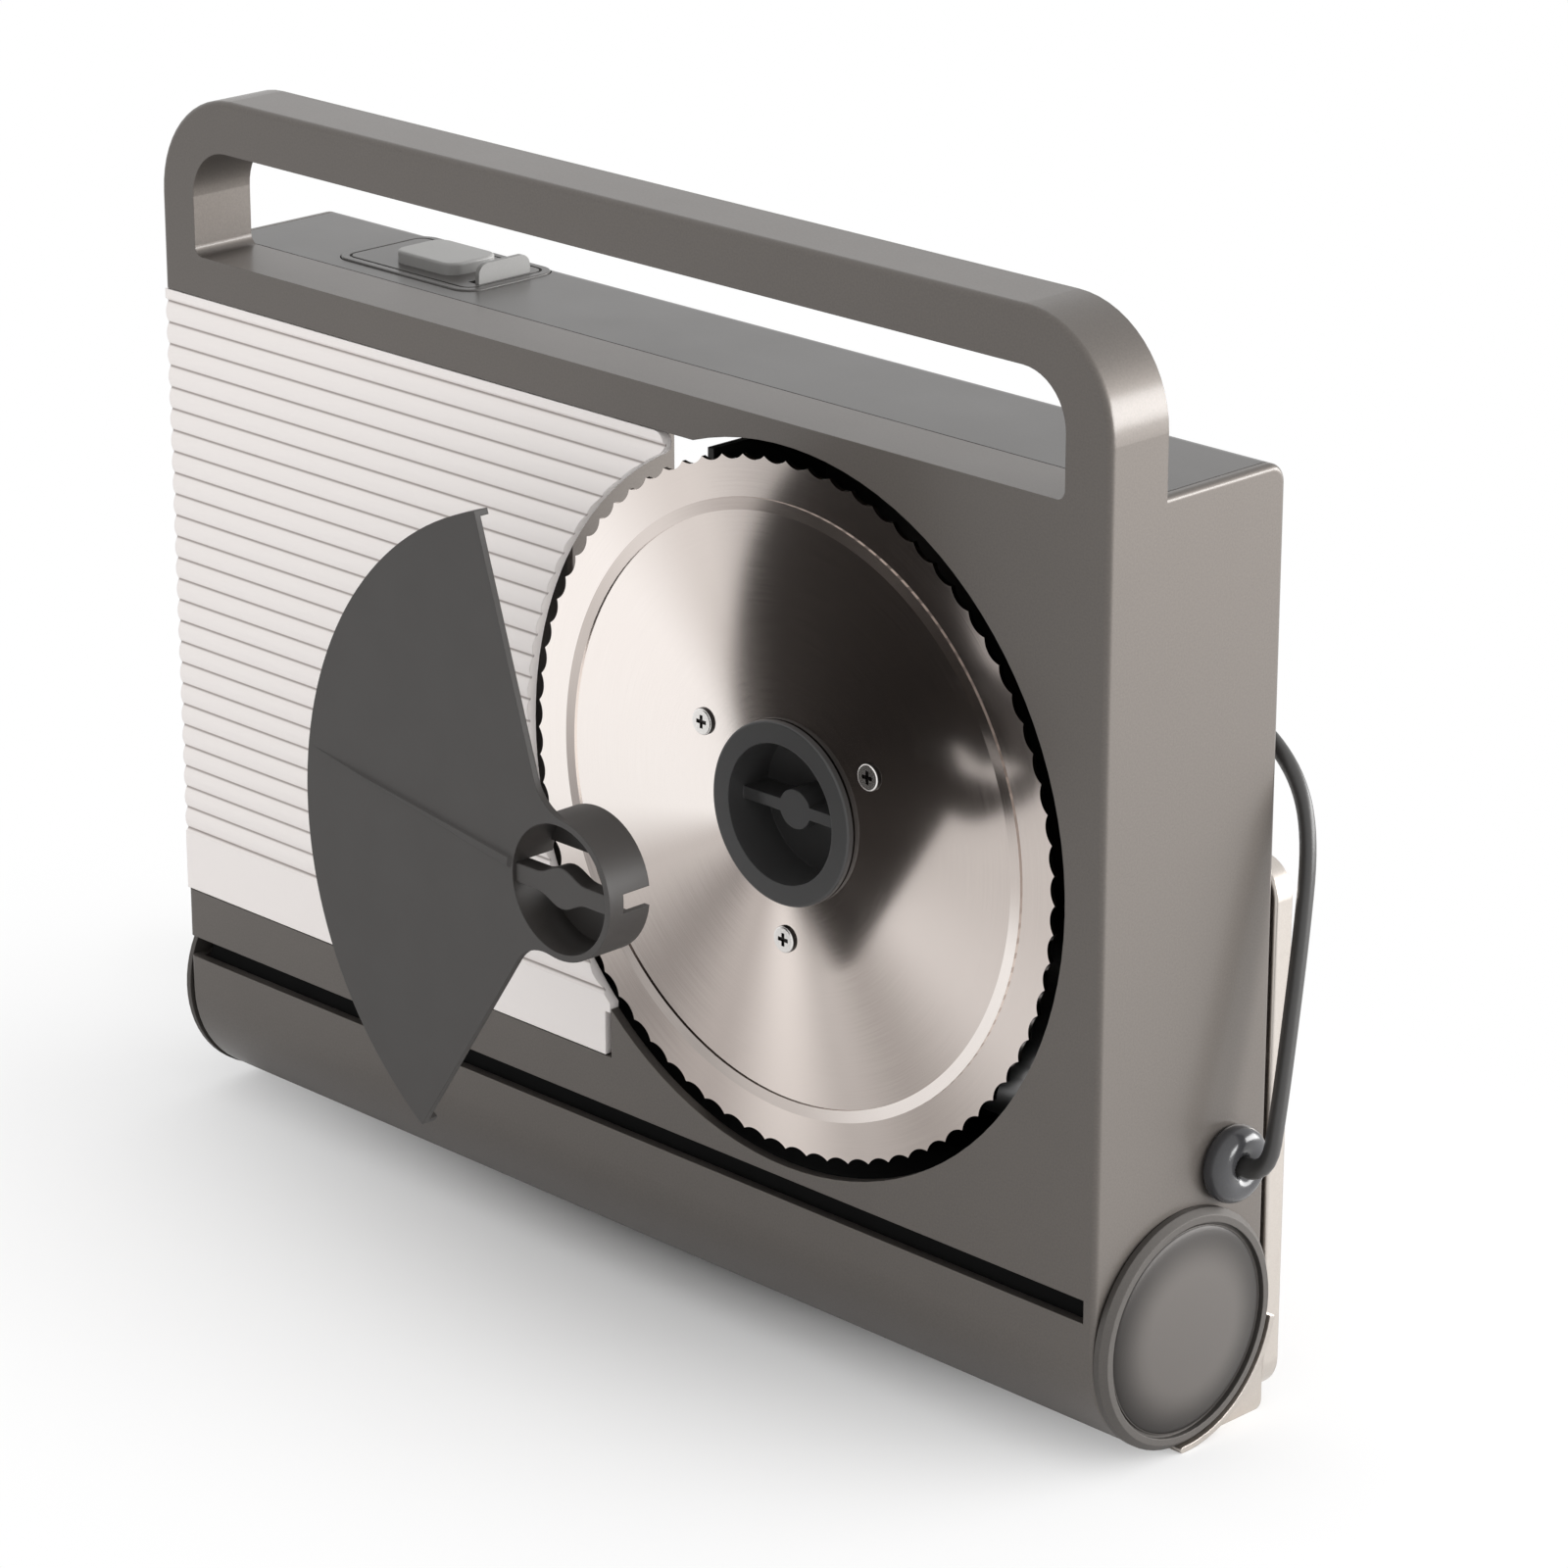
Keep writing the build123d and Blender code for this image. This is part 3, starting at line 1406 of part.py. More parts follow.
# The rest of the cord, wound in on the lower layer and out again on the upper one
step = (cord_width + cord_gap) / 2
crossings = [coil_radius - step * k for k in range(half_turns_in + 1)]
crossings += [crossings[-1] + step * k for k in range(half_turns_out + 1)]
heights = [coil_low] * (half_turns_in + 1) + [coil_high] * (half_turns_out + 1)
coil_points = []
for k, (radius, height) in enumerate(zip(crossings, heights)):
    coil_points.append(place(coil_x + radius * (-1) ** k, coil_y, height))
lead_in = place(coil_start_x, coil_start_y, coil_low)
lead_out = coil_points[-1] + Vector(0, coil_tail)
with BuildPart() as cord_coil:
    with BuildLine() as coil_path:
        Line(lead_in, coil_points[0])
        for k, (here, there) in enumerate(zip(coil_points, coil_points[1:])):
            half = (there - here).length / 2
            ThreePointArc(here, (here + there) / 2 + Vector(0, half * (-1) ** k), there)
        Line(coil_points[-1], lead_out)
    with BuildSketch(Plane(origin=lead_in, z_dir=(0, 1, 0))):
        Circle(cord_radius)
    sweep()
keep(cord_coil, "cord_coil")

samples_per_half_turn = 24
count = samples_per_half_turn * (len(coil_points) - 1)
samples = [coil_path.line @ (k / count) for k in range(count + 1)]
least = min(
    (samples[i] - samples[j]).length
    for i in range(count + 1)
    for j in range(i + samples_per_half_turn, count + 1)
)
print("cord coil length", round(coil_path.wires()[0].length, 1))
print("least gap in the coil", round(least - cord_width, 2))

# Tie round the coil's turns
tie_inner = coil_x - crossings[half_turns_in] + cord_radius + tie_gap
tie_outer = coil_x - crossings[1] - cord_radius - tie_gap
tie_low = coil_low - cord_radius - tie_gap
tie_high = coil_high + cord_radius + tie_gap
with BuildPart() as cord_tie:
    with BuildSketch(front(coil_y - tie_width / 2)):
        with Locations(((tie_inner + tie_outer) / 2, (tie_low + tie_high) / 2)):
            RectangleRounded(
                tie_inner - tie_outer + 2 * tie_skin,
                tie_high - tie_low + 2 * tie_skin,
                cord_radius + tie_skin,
            )
            RectangleRounded(
                tie_inner - tie_outer,
                tie_high - tie_low,
                cord_radius,
                mode=Mode.SUBTRACT,
            )
    extrude(amount=-tie_width)
keep(cord_tie, "cord_tie")

# Plug with two pins, lying beside the coil
plug_height = 2 * (coil_high - floor_z)
plug_x = coil_x + crossings[-1]
plug_y = coil_y + coil_tail
plug_planes = [
    Plane(origin=place(plug_x, plug_y + reach, coil_high), x_dir=(1, 0, 0), z_dir=(0, 1, 0))
    for reach in (0, plug_relief, plug_relief + plug_length)
]
with BuildPart() as plug:
    with BuildSketch(plug_planes[0]):
        Circle(cord_radius * 1.4)
    with BuildSketch(plug_planes[1]):
        Circle(plug_height / 3)
    loft()
    with BuildSketch(plug_planes[1]):
        RectangleRounded(plug_width, plug_height, plug_round)
    extrude(amount=plug_length)
    fillet(edges().group_by(Axis.Y)[-1], plug_round / 4)
    with BuildSketch(plug_planes[2]):
        with GridLocations(pin_spacing, 0, 2, 1):
            Circle(pin_radius)
    extrude(amount=pin_length)
    fillet(edges().group_by(Axis.Y)[-1], pin_radius / 2)
keep(plug, "plug")
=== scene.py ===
# %% [markdown]
# # A folding food slicer in a white studio
# The slicer's solids were made in CAD, at their real size, and stand on the floor at z = 0. This lesson
# dresses them: it sets up the camera, floor and light, models the mains lead with its plug and a few small
# pieces that the solids leave plain, and gives every surface a finish. Blender never moves or resizes a
# solid, so all that is made here fits the places that the frame gives.
# %% Load the frame
import math

import bpy
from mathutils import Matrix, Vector


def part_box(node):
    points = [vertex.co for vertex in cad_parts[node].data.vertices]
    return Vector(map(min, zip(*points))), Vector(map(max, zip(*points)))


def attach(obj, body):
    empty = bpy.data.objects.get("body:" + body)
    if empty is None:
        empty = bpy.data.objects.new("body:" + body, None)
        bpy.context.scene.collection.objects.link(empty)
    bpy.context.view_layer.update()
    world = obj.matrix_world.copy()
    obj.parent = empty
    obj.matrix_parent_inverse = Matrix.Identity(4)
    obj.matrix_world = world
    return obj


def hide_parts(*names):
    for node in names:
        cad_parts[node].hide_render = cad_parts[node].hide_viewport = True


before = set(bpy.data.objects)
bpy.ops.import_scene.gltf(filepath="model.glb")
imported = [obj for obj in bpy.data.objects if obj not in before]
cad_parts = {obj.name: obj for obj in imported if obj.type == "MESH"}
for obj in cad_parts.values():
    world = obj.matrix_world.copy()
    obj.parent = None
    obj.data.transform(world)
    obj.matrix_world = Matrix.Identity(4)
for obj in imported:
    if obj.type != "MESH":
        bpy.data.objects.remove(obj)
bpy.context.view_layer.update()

# %% [markdown]
# ## The camera
# A product picture is taken from far away with a long lens, so that its edges stay nearly parallel. The
# place and the lens were worked out from the corners of the body in the picture and in the CAD. The camera
# stands off the slicer's right-hand corner and looks down by 20 degrees.
# %% Camera
MM = 0.001
camera_place = Vector((933.87, -861.2, 588.27)) * MM
camera_turn = math.radians(45.36)
camera_dip = math.radians(19.87)
film_width = 36
lens_length = 129.2

lens = bpy.data.cameras.new("long_lens")
lens.sensor_width = film_width
lens.lens = lens_length
camera = bpy.data.objects.new("studio_camera", lens)
camera.location = camera_place
camera.rotation_euler = (math.pi / 2 - camera_dip, 0, camera_turn)
bpy.context.scene.collection.objects.link(camera)
bpy.context.scene.camera = camera
bpy.context.scene.view_settings.view_transform = "Standard"
print("camera", [round(v, 3) for v in camera.location])

# %% [markdown]
# ## Colours and nodes
# Colours are easiest to pick as the hex values of a picture, which are sRGB. A shader wants linear light,
# so one function turns them. A second one adds a node: it sets the node's options, and sets or links its
# inputs, which keeps each recipe below as short as its idea.
# %% Helpers for materials
def linear(hex_colour):
    """An sRGB hex colour as linear red, green, blue and alpha."""
    shares = [int(hex_colour[i : i + 2], 16) / 255 for i in (1, 3, 5)]
    return [s / 12.92 if s <= 0.04045 else ((s + 0.055) / 1.055) ** 2.4 for s in shares] + [1]


def add_node(material, kind, inputs=None, **options):
    """Adds a node of this kind, sets its options, and sets or links its inputs."""
    node = material.node_tree.nodes.new(kind)
    for name, value in options.items():
        setattr(node, name, value)
    for socket, value in (inputs or {}).items():
        if isinstance(value, bpy.types.NodeSocket):
            material.node_tree.links.new(value, node.inputs[socket])
        else:
            node.inputs[socket].default_value = value
    return node


def new_material(name):
    """An empty node material and its output node."""
    material = bpy.data.materials.new(name)
    material.use_nodes = True
    material.node_tree.nodes.clear()
    return material, add_node(material, "ShaderNodeOutputMaterial")


# %% [markdown]
# ## Floor, white backdrop and lamp
# The floor is a wide pale board. Near the slicer it is lit like any surface, so it takes the soft shadow.
# Further out it fades into a plain white that only the camera, mirrors and glass see, which is how a
# studio sweep looks. It has two fades, both counted from the middle of the slicer's foot in an oval that is
# longer along its width. The camera's fade starts at once. The one for mirrors and glass starts further
# out, so that steel and gloss also mirror some of the lit floor.
# %% Floor
eye_fade = (0, 0.235)
mirror_fade = (0.15, 0.5)
body_depth_middle = 0.045
fade_squeeze = (0.6, 1, 1)
floor_radius = 6
circle_sides = 96

bpy.ops.object.select_all(action="DESELECT")
bpy.ops.mesh.primitive_circle_add(vertices=circle_sides, radius=floor_radius, fill_type="NGON")
floor = bpy.context.object
floor.name = "studio_floor"

paper, paper_output = new_material("matt_white_paper")
paper_place = add_node(paper, "ShaderNodeTexCoord")
paper_oval = add_node(
    paper,
    "ShaderNodeMapping",
    {"Vector": paper_place.outputs["Object"], "Location": (0, -body_depth_middle, 0), "Scale": fade_squeeze},
)
paper_distance = add_node(paper, "ShaderNodeVectorMath", {0: paper_oval.outputs[0]}, operation="LENGTH")


def fade_for(fade, seen):
    """How far the floor has turned to plain white at a distance, for one kind of ray."""
    start, end = fade
    share = add_node(
        paper,
        "ShaderNodeMapRange",
        {"Value": paper_distance.outputs["Value"], "From Min": start, "From Max": end},
        interpolation_type="SMOOTHSTEP",
    )
    counted = add_node(paper, "ShaderNodeMath", {0: share.outputs["Result"], 1: seen}, operation="MULTIPLY")
    return counted.outputs[0]


def mirror_ray(material, path):
    """1 where a mirror or glass looks."""
    mirror = add_node(
        material,
        "ShaderNodeMath",
        {0: path.outputs["Is Glossy Ray"], 1: path.outputs["Is Transmission Ray"]},
        operation="MAXIMUM",
    )
    return mirror.outputs[0]


paper_path = add_node(paper, "ShaderNodeLightPath")
paper_eye = fade_for(eye_fade, paper_path.outputs["Is Camera Ray"])
paper_mirror = fade_for(mirror_fade, mirror_ray(paper, paper_path))
paper_lit = add_node(paper, "ShaderNodeBsdfDiffuse", {"Color": linear("#F4F4F4")})
paper_white = add_node(paper, "ShaderNodeEmission", {"Color": linear("#FFFFFF"), "Strength": 1})
paper_share = add_node(paper, "ShaderNodeMath", {0: paper_eye, 1: paper_mirror}, operation="MAXIMUM")
paper_mix = add_node(
    paper,
    "ShaderNodeMixShader",
    {0: paper_share.outputs[0], 1: paper_lit.outputs[0], 2: paper_white.outputs[0]},
)
paper.node_tree.links.new(paper_mix.outputs[0], paper_output.inputs["Surface"])
floor.data.materials.append(paper)
print("floor radius", floor_radius)

# %% [markdown]
# The world gives nearly all the light. It is plain white to the camera, mirrors and glass, and a little
# dimmer where it lights a surface. One wide and low soft box of neutral white stands to the right and
# behind. It brightens the right side, and the front stays the darker one.
# %% World and lamp
world_level = 0.92
key_place = Vector((1.7, 1.5, 0.44))
key_width = 3.2
key_height = 0.76
key_watts = 90
body_middle = Vector((0, 0.03, 0.13))

world = bpy.data.worlds.new("white_studio")
bpy.context.scene.world = world
world.use_nodes = True
world.node_tree.nodes.clear()
world_output = add_node(world, "ShaderNodeOutputWorld")
world_path = add_node(world, "ShaderNodeLightPath")
world_seen = add_node(
    world,
    "ShaderNodeMath",
    {0: world_path.outputs["Is Camera Ray"], 1: mirror_ray(world, world_path)},
    operation="MAXIMUM",
)
world_strength = add_node(
    world,
    "ShaderNodeMapRange",
    {"Value": world_seen.outputs[0], "To Min": world_level, "To Max": 1},
)
world_light = add_node(
    world,
    "ShaderNodeBackground",
    {"Color": linear("#FFFFFF"), "Strength": world_strength.outputs["Result"]},
)
world.node_tree.links.new(world_light.outputs[0], world_output.inputs["Surface"])

key_light = bpy.data.lights.new("key_box", "AREA")
key_light.shape = "RECTANGLE"
key_light.size = key_width
key_light.size_y = key_height
key_light.energy = key_watts
key_light.color = linear("#FFFFFF")[:3]
key_box = bpy.data.objects.new("key_box", key_light)
key_box.location = key_place
key_box.rotation_euler = (body_middle - key_place).to_track_quat("-Z", "Y").to_euler()
bpy.context.scene.collection.objects.link(key_box)
print("lamp", key_box.name)

# %% [markdown]
# ## The mains lead
# The lead is one flexible thing of a fixed length, so it is one smooth curve. It leaves the rubber gland in
# the right side, goes straight up, turns over the hook on the back, hangs along the back to the second
# hook, and comes down the left side to the floor. What is left of it lies there in a small coil, wound in
# on one layer and out again on the next. A quadratic NURBS line takes the listed points as its control
# points and rounds every corner by itself. The coil's points come from a loop, on circles that are a
# little larger than the turns, because the line touches the middle of each run between two points.
# %% Route of the mains lead
body_left = -161.5
floor_drop = 1.9
coil_middle = (-45, 96)
coil_low = 1.7
coil_high = 8.05
coil_crossings = [36, 32.825, 29.65, 26.475, 23.3, 20.125, 20.125, 23.3, 26.475, 29.65, 32.825]
coil_climb = 5
coil_tail = 18
tail_bend = 0.35
points_per_half_turn = 8
lead_points = [
    (311.5, 45, 65.5),
    (322, 45, 65.52),
    (335, 45.02, 65.56),
    (334.6, 48.6, 81),
    (333.4, 53, 100),
    (332.2, 57.4, 121),
    (330.6, 61.2, 140),
    (326.3, 63.2, 152.4),
    (317.6, 64, 161.4),
    (306, 64.2, 166.6),
    (293, 64.2, 169),
    (268, 63.6, 163.6),
    (220, 64.2, 157.6),
    (164, 65, 156),
    (108, 64, 158),
    (60, 63.6, 163),
    (41, 64, 167.2),
    (27, 64.4, 169.2),
    (13, 65.2, 168),
    (2, 66, 162.3),
    (-6.2, 66.6, 152.9),
    (-10, 67, 140),
    (-11.2, 67, 118),
    (-10.8, 66.6, 84),
    (-9.6, 59.4, 52),
    (-9, 54.5, 29.5),
    (-9, 57.5, 17.1),
    (-9, 65.4, 7.2),
    (-9, 76.9, coil_low),
    (-9, 90, coil_low),
]


def at(x, y, z):
    """A place in metres, from millimetres counted from the body's left, front and barrel bottom."""
    return Vector((x + body_left, y, z + floor_drop)) * MM


def coil_turns():
    """The coil's control points: one half circle between each two crossings, right and left in turn."""
    points = []
    for k, (here, there) in enumerate(zip(coil_crossings, coil_crossings[1:])):
        way = (-1) ** k
        radius = (here + there) / 2
        middle = coil_middle[0] + way * (here - there) / 2
        for j in range(points_per_half_turn):
            turn = math.pi * (j + 0.5) / points_per_half_turn
            reach = radius / math.cos(math.pi / points_per_half_turn / 2)
            climb = (1 - math.cos(turn)) / 2 if k == coil_climb else float(k > coil_climb)
            points.append(
                (
                    middle + way * reach * math.cos(turn),
                    coil_middle[1] + way * reach * math.sin(turn),
                    coil_low + (coil_high - coil_low) * climb,
                )
            )
    return points


tail_x = coil_middle[0] + coil_crossings[-1]
tail_points = [
    (tail_x, coil_middle[1] + coil_tail * tail_bend, coil_high),
    (tail_x, coil_middle[1] + coil_tail, coil_high),
]
route = [at(*point) for point in lead_points + coil_turns() + tail_points]
print("control points of the lead", len(route))

# %% [markdown]
# A flat twin lead is wider than it is thick. The curve gets that section from two settings: extrude gives
# the flat part, and the bevel rounds both edges. Beside the body the lead stands edge-on, and its points
# are tilted for that. The tilt fades out on the way to the hook. Blender takes each point's radius for the
# size of the curve's box, so the radius is small and the section is larger by as much.
# %% Lead as one curve
lead_width = 5 * MM
lead_thickness = 3.4 * MM
point_radius = 0.002
edge_on_turn = -45
edge_on_points = 17
edge_on_ease = 6
lead_steps = 6
lead_round_steps = 4

lead_line = bpy.data.curves.new("mains_lead", "CURVE")
lead_line.dimensions = "3D"
lead_line.resolution_u = lead_steps
lead_line.bevel_depth = lead_thickness / 2 / point_radius
lead_line.extrude = (lead_width - lead_thickness) / 2 / point_radius
lead_line.bevel_resolution = lead_round_steps
lead_line.use_fill_caps = True
lead_line.twist_mode = "MINIMUM"
spline = lead_line.splines.new("NURBS")
spline.points.add(len(route) - 1)
for point, place in zip(spline.points, route):
    point.co = (*place, 1)
    point.radius = point_radius
for k, point in enumerate(spline.points[:edge_on_points]):
    point.tilt = math.radians(edge_on_turn) * min(1, (edge_on_points - k) / edge_on_ease)
spline.order_u = 3
spline.use_endpoint_u = True
lead = bpy.data.objects.new("mains_lead", lead_line)
bpy.context.scene.collection.objects.link(lead)
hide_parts("cord_run", "cord_coil")
print("lead made", lead_line.splines[0].order_u)

# %% [markdown]
# ## The plug
# A moulded two-pin plug has a ribbed sleeve that keeps the lead from kinking, a body to hold, and two pins.
# The sleeve grows from one circle: it is extruded along the lead and scaled at each step, in and out for
# the ribs. Working in edit mode on one face is how this is done by hand, and it leaves one closed skin.
# %% Plug sleeve
plug_start = at(tail_x, coil_middle[1] + coil_tail, coil_high)
sleeve_length = 20 * MM
sleeve_thin = 3.5 * MM
sleeve_thick = 6.6 * MM
sleeve_ribs = 6
rib_share = 0.62
rib_rise = 0.8 * MM
sleeve_sides = 32
weld_gap = MM / 100
smooth_angle = 35


def grow(step, scale, middle):
    """Extrudes the selected face by a step and scales its new edge about a middle."""
    bpy.ops.mesh.extrude_region_move(TRANSFORM_OT_translate={"value": step})
    bpy.ops.transform.resize(value=scale, center_override=middle)


def finish_mesh(piece, name, angle=smooth_angle):
    """Ends edit mode, puts the object at the origin with its place in its mesh, and smooths soft edges."""
    bpy.ops.mesh.select_all(action="SELECT")
    bpy.ops.mesh.remove_doubles(threshold=weld_gap)
    bpy.ops.mesh.normals_make_consistent(inside=False)
    bpy.ops.object.mode_set(mode="OBJECT")
    bpy.ops.object.transform_apply(location=True, rotation=True, scale=True)
    bpy.ops.object.shade_smooth_by_angle(angle=math.radians(angle))
    piece.name = name
    piece.data.name = name
    return piece


bpy.ops.object.select_all(action="DESELECT")
bpy.ops.mesh.primitive_circle_add(
    vertices=sleeve_sides,
    radius=sleeve_thin - rib_rise,
    fill_type="NGON",
    location=plug_start,
    rotation=(math.pi / 2, 0, 0),
)
sleeve = bpy.context.object
bpy.ops.object.mode_set(mode="EDIT")
rib_pitch = sleeve_length / sleeve_ribs
reach = 0
radius = sleeve_thin - rib_rise
for k in range(sleeve_ribs):
    rib_radius = sleeve_thin + (sleeve_thick - sleeve_thin) * (k + 1) / sleeve_ribs
    steps = [
        (0, rib_radius),
        (rib_pitch * rib_share, rib_radius),
        (0, rib_radius - rib_rise),
        (rib_pitch * (1 - rib_share), rib_radius - rib_rise),
    ]
    for ahead, next_radius in steps:
        reach += ahead
        middle = plug_start + Vector((0, reach, 0))
        grow((0, ahead, 0), [next_radius / radius] * 3, middle)
        radius = next_radius
finish_mesh(sleeve, "plug_sleeve")
print("sleeve faces", len(sleeve.data.polygons))

# %% [markdown]
# The body starts as a box. Its long edges get a large round, as a hand wants, and its two broad sides are
# inset and pressed in a little, which gives the finger hollows of the real moulding.
# %% Plug body
body_size = Vector((35, 26, 19.9)) * MM
body_round = 7.6 * MM
hollow_inset = 4.5 * MM
hollow_depth = 1 * MM
round_steps = 8
edge_softness = 1.2 * MM
edge_steps = 3
face_on = 0.99
body_centre = plug_start + Vector((0, sleeve_length + body_size.y / 2, 0))

bpy.ops.object.select_all(action="DESELECT")
bpy.ops.mesh.primitive_cube_add(size=1, location=body_centre, scale=body_size)
plug_body = bpy.context.object
bpy.ops.object.transform_apply(location=False, rotation=False, scale=True)


def select_where(piece, mode, test):
    """In edit mode, selects the faces or edges whose middle, or for faces also normal, passes a test."""
    bpy.ops.mesh.select_mode(type=mode)
    bpy.ops.mesh.select_all(action="DESELECT")
    bpy.ops.object.mode_set(mode="OBJECT")
    mesh = piece.data
    if mode == "FACE":
        for face in mesh.polygons:
            face.select = test(face.center, face.normal)
    else:
        for edge in mesh.edges:
            ends = [mesh.vertices[i].co for i in edge.vertices]
            edge.select = test((ends[0] + ends[1]) / 2, ends[1] - ends[0])
    bpy.ops.object.mode_set(mode="EDIT")


def soften(piece, width, segments=2):
    """Rounds the sharp edges of a piece and smooths what is then soft."""
    rounding = piece.modifiers.new("rounding", "BEVEL")
    rounding.width = width
    rounding.segments = segments
    rounding.limit_method = "ANGLE"
    bpy.context.view_layer.objects.active = piece
    bpy.ops.object.modifier_apply(modifier=rounding.name)
    bpy.ops.object.shade_smooth_by_angle(angle=math.radians(smooth_angle))


bpy.ops.object.mode_set(mode="EDIT")
select_where(plug_body, "EDGE", lambda middle, way: abs(way.y) > body_size.y / 2)
bpy.ops.mesh.bevel(offset=body_round, segments=round_steps, profile=0.5)
select_where(plug_body, "FACE", lambda middle, normal: abs(normal.z) > face_on)
bpy.ops.mesh.inset(thickness=hollow_inset, depth=-hollow_depth, use_individual=True)
finish_mesh(plug_body, "plug_body")
soften(plug_body, edge_softness, edge_steps)
print("plug body faces", len(plug_body.data.polygons))

# %% [markdown]
# The pins are one turned shape, made once and copied: a plastic sleeve at the root, a thinner metal tip
# and a rounded end. Each copy gets its own mesh.
# %% Plug pins
pin_spacing = 19 * MM
pin_length = 19 * MM
pin_radius = 2.4 * MM
tip_radius = 2 * MM
tip_start = 9 * MM
pin_sink = 1 * MM
pin_sides = 24
nose_steps = [(0.6, 0.8), (0.4, 0.35)]

pin_root = body_centre + Vector((-pin_spacing / 2, body_size.y / 2 - pin_sink, 0))
bpy.ops.object.select_all(action="DESELECT")
bpy.ops.mesh.primitive_circle_add(
    vertices=pin_sides, radius=pin_radius, fill_type="NGON", location=pin_root, rotation=(math.pi / 2, 0, 0)
)
plug_pins = bpy.context.object
bpy.ops.object.mode_set(mode="EDIT")
radius = pin_radius
reach = 0
for ahead, next_radius in [
    (tip_start + pin_sink, pin_radius),
    (0, tip_radius),
    (pin_length - tip_start - tip_radius, tip_radius),
    *[(tip_radius * ahead, tip_radius * narrow) for ahead, narrow in nose_steps],
]:
    reach += ahead
    grow((0, ahead, 0), [next_radius / radius] * 3, pin_root + Vector((0, reach, 0)))
    radius = next_radius
finish_mesh(plug_pins, "plug_pins")
bpy.ops.object.duplicate(linked=False)
bpy.ops.transform.translate(value=(pin_spacing, 0, 0))
bpy.ops.object.transform_apply(location=True, rotation=False, scale=False)
plug_pins.select_set(True)
bpy.context.view_layer.objects.active = plug_pins
bpy.ops.object.join()
print("pins", len(plug_pins.data.polygons))

# %% [markdown]
# The sleeve, the body and the pins stand for the plain CAD plug, and go with the lead wherever it is told
# to lie. The lead, in turn, rides on the housing, which holds it in its gland and on its two hooks.
# %% Lead and plug take their places
for piece in (lead, sleeve, plug_body, plug_pins):
    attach(piece, "housing")
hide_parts("plug")

# %% [markdown]
# ## The guard's grip and floor
# The blade guard has a short tube in its middle. A grip bar crosses it near its mouth, thicker where two
# fingers turn it. The bar starts as a flat grid: the columns near its middle are scaled up one by one, and
# the whole is then extruded to its depth.
# %% Grip bar of the guard
blade_axis_x = 222.8
blade_axis_z = 136
guard_middle = at(blade_axis_x, 0, blade_axis_z)
grip_front = -69.7 * MM
grip_depth = 4.4 * MM
grip_length = 30.8 * MM
grip_height = 4.7 * MM
grip_swell = 5.2 * MM
swell_reach = 8 * MM
grip_columns = 24
grip_rounding = 0.3 * MM
column_slack = grip_length / grip_columns / 4

bpy.ops.object.select_all(action="DESELECT")
grip_place = Vector((guard_middle.x, grip_front, guard_middle.z))
bpy.ops.mesh.primitive_grid_add(
    x_subdivisions=grip_columns, y_subdivisions=1, size=1, location=grip_place, rotation=(math.pi / 2, 0, 0)
)
grip = bpy.context.object
grip.scale = (grip_length, grip_height, 1)
bpy.ops.object.transform_apply(location=False, rotation=True, scale=True)
bpy.ops.object.mode_set(mode="EDIT")
for k in range(grip_columns + 1):
    across = grip_length * (k / grip_columns - 0.5)
    if abs(across) >= swell_reach:
        continue
    swell = grip_swell * math.cos(math.pi / 2 * across / swell_reach) ** 2
    bpy.ops.mesh.select_mode(type="VERT")
    bpy.ops.mesh.select_all(action="DESELECT")
    bpy.ops.object.mode_set(mode="OBJECT")
    for vertex in grip.data.vertices:
        vertex.select = abs(vertex.co.x - across) < column_slack
    bpy.ops.object.mode_set(mode="EDIT")
    bpy.ops.transform.resize(value=(1, 1, 1 + swell / grip_height), center_override=grip_place)
bpy.ops.mesh.select_mode(type="FACE")
bpy.ops.mesh.select_all(action="SELECT")
bpy.ops.mesh.extrude_region_move(TRANSFORM_OT_translate={"value": (0, grip_depth, 0)})
finish_mesh(grip, "guard_grip")
soften(grip, grip_rounding)
print("grip faces", len(grip.data.polygons))

# %% [markdown]
# At the far end of the tube a floor leaves only a wide slot open. Its upper half is a disc that a bisect
# cuts off above the slot. The lower half is a copy of it, turned half round about the tube's middle.
# %% Floor halves of the guard's tube
tube_inner = 15.5 * MM
tube_floor = -59.5 * MM
floor_skin = 1.1 * MM
slot_half = 5.3 * MM
floor_rounding = 0.2 * MM

bpy.ops.object.select_all(action="DESELECT")
tube_place = Vector((guard_middle.x, tube_floor, guard_middle.z))
bpy.ops.mesh.primitive_circle_add(
    vertices=circle_sides,
    radius=tube_inner,
    fill_type="NGON",
    location=tube_place,
    rotation=(math.pi / 2, 0, 0),
)
upper_floor = bpy.context.object
bpy.ops.object.mode_set(mode="EDIT")
bpy.ops.mesh.select_all(action="SELECT")
bpy.ops.mesh.bisect(
    plane_co=tube_place + Vector((0, 0, slot_half)), plane_no=(0, 0, 1), clear_inner=True, use_fill=False
)
bpy.ops.mesh.select_all(action="SELECT")
bpy.ops.mesh.extrude_region_move(TRANSFORM_OT_translate={"value": (0, floor_skin, 0)})
finish_mesh(upper_floor, "guard_floor_upper")
soften(upper_floor, floor_rounding)
bpy.ops.object.select_all(action="DESELECT")
upper_floor.select_set(True)
bpy.context.view_layer.objects.active = upper_floor
bpy.ops.object.duplicate(linked=False)
lower_floor = bpy.context.object
bpy.ops.transform.rotate(value=math.pi, orient_axis="Y", center_override=tube_place)
bpy.ops.object.transform_apply(location=True, rotation=True, scale=True)
lower_floor.name = "guard_floor_lower"
lower_floor.data.name = "guard_floor_lower"
print("floor halves", upper_floor.name, lower_floor.name)

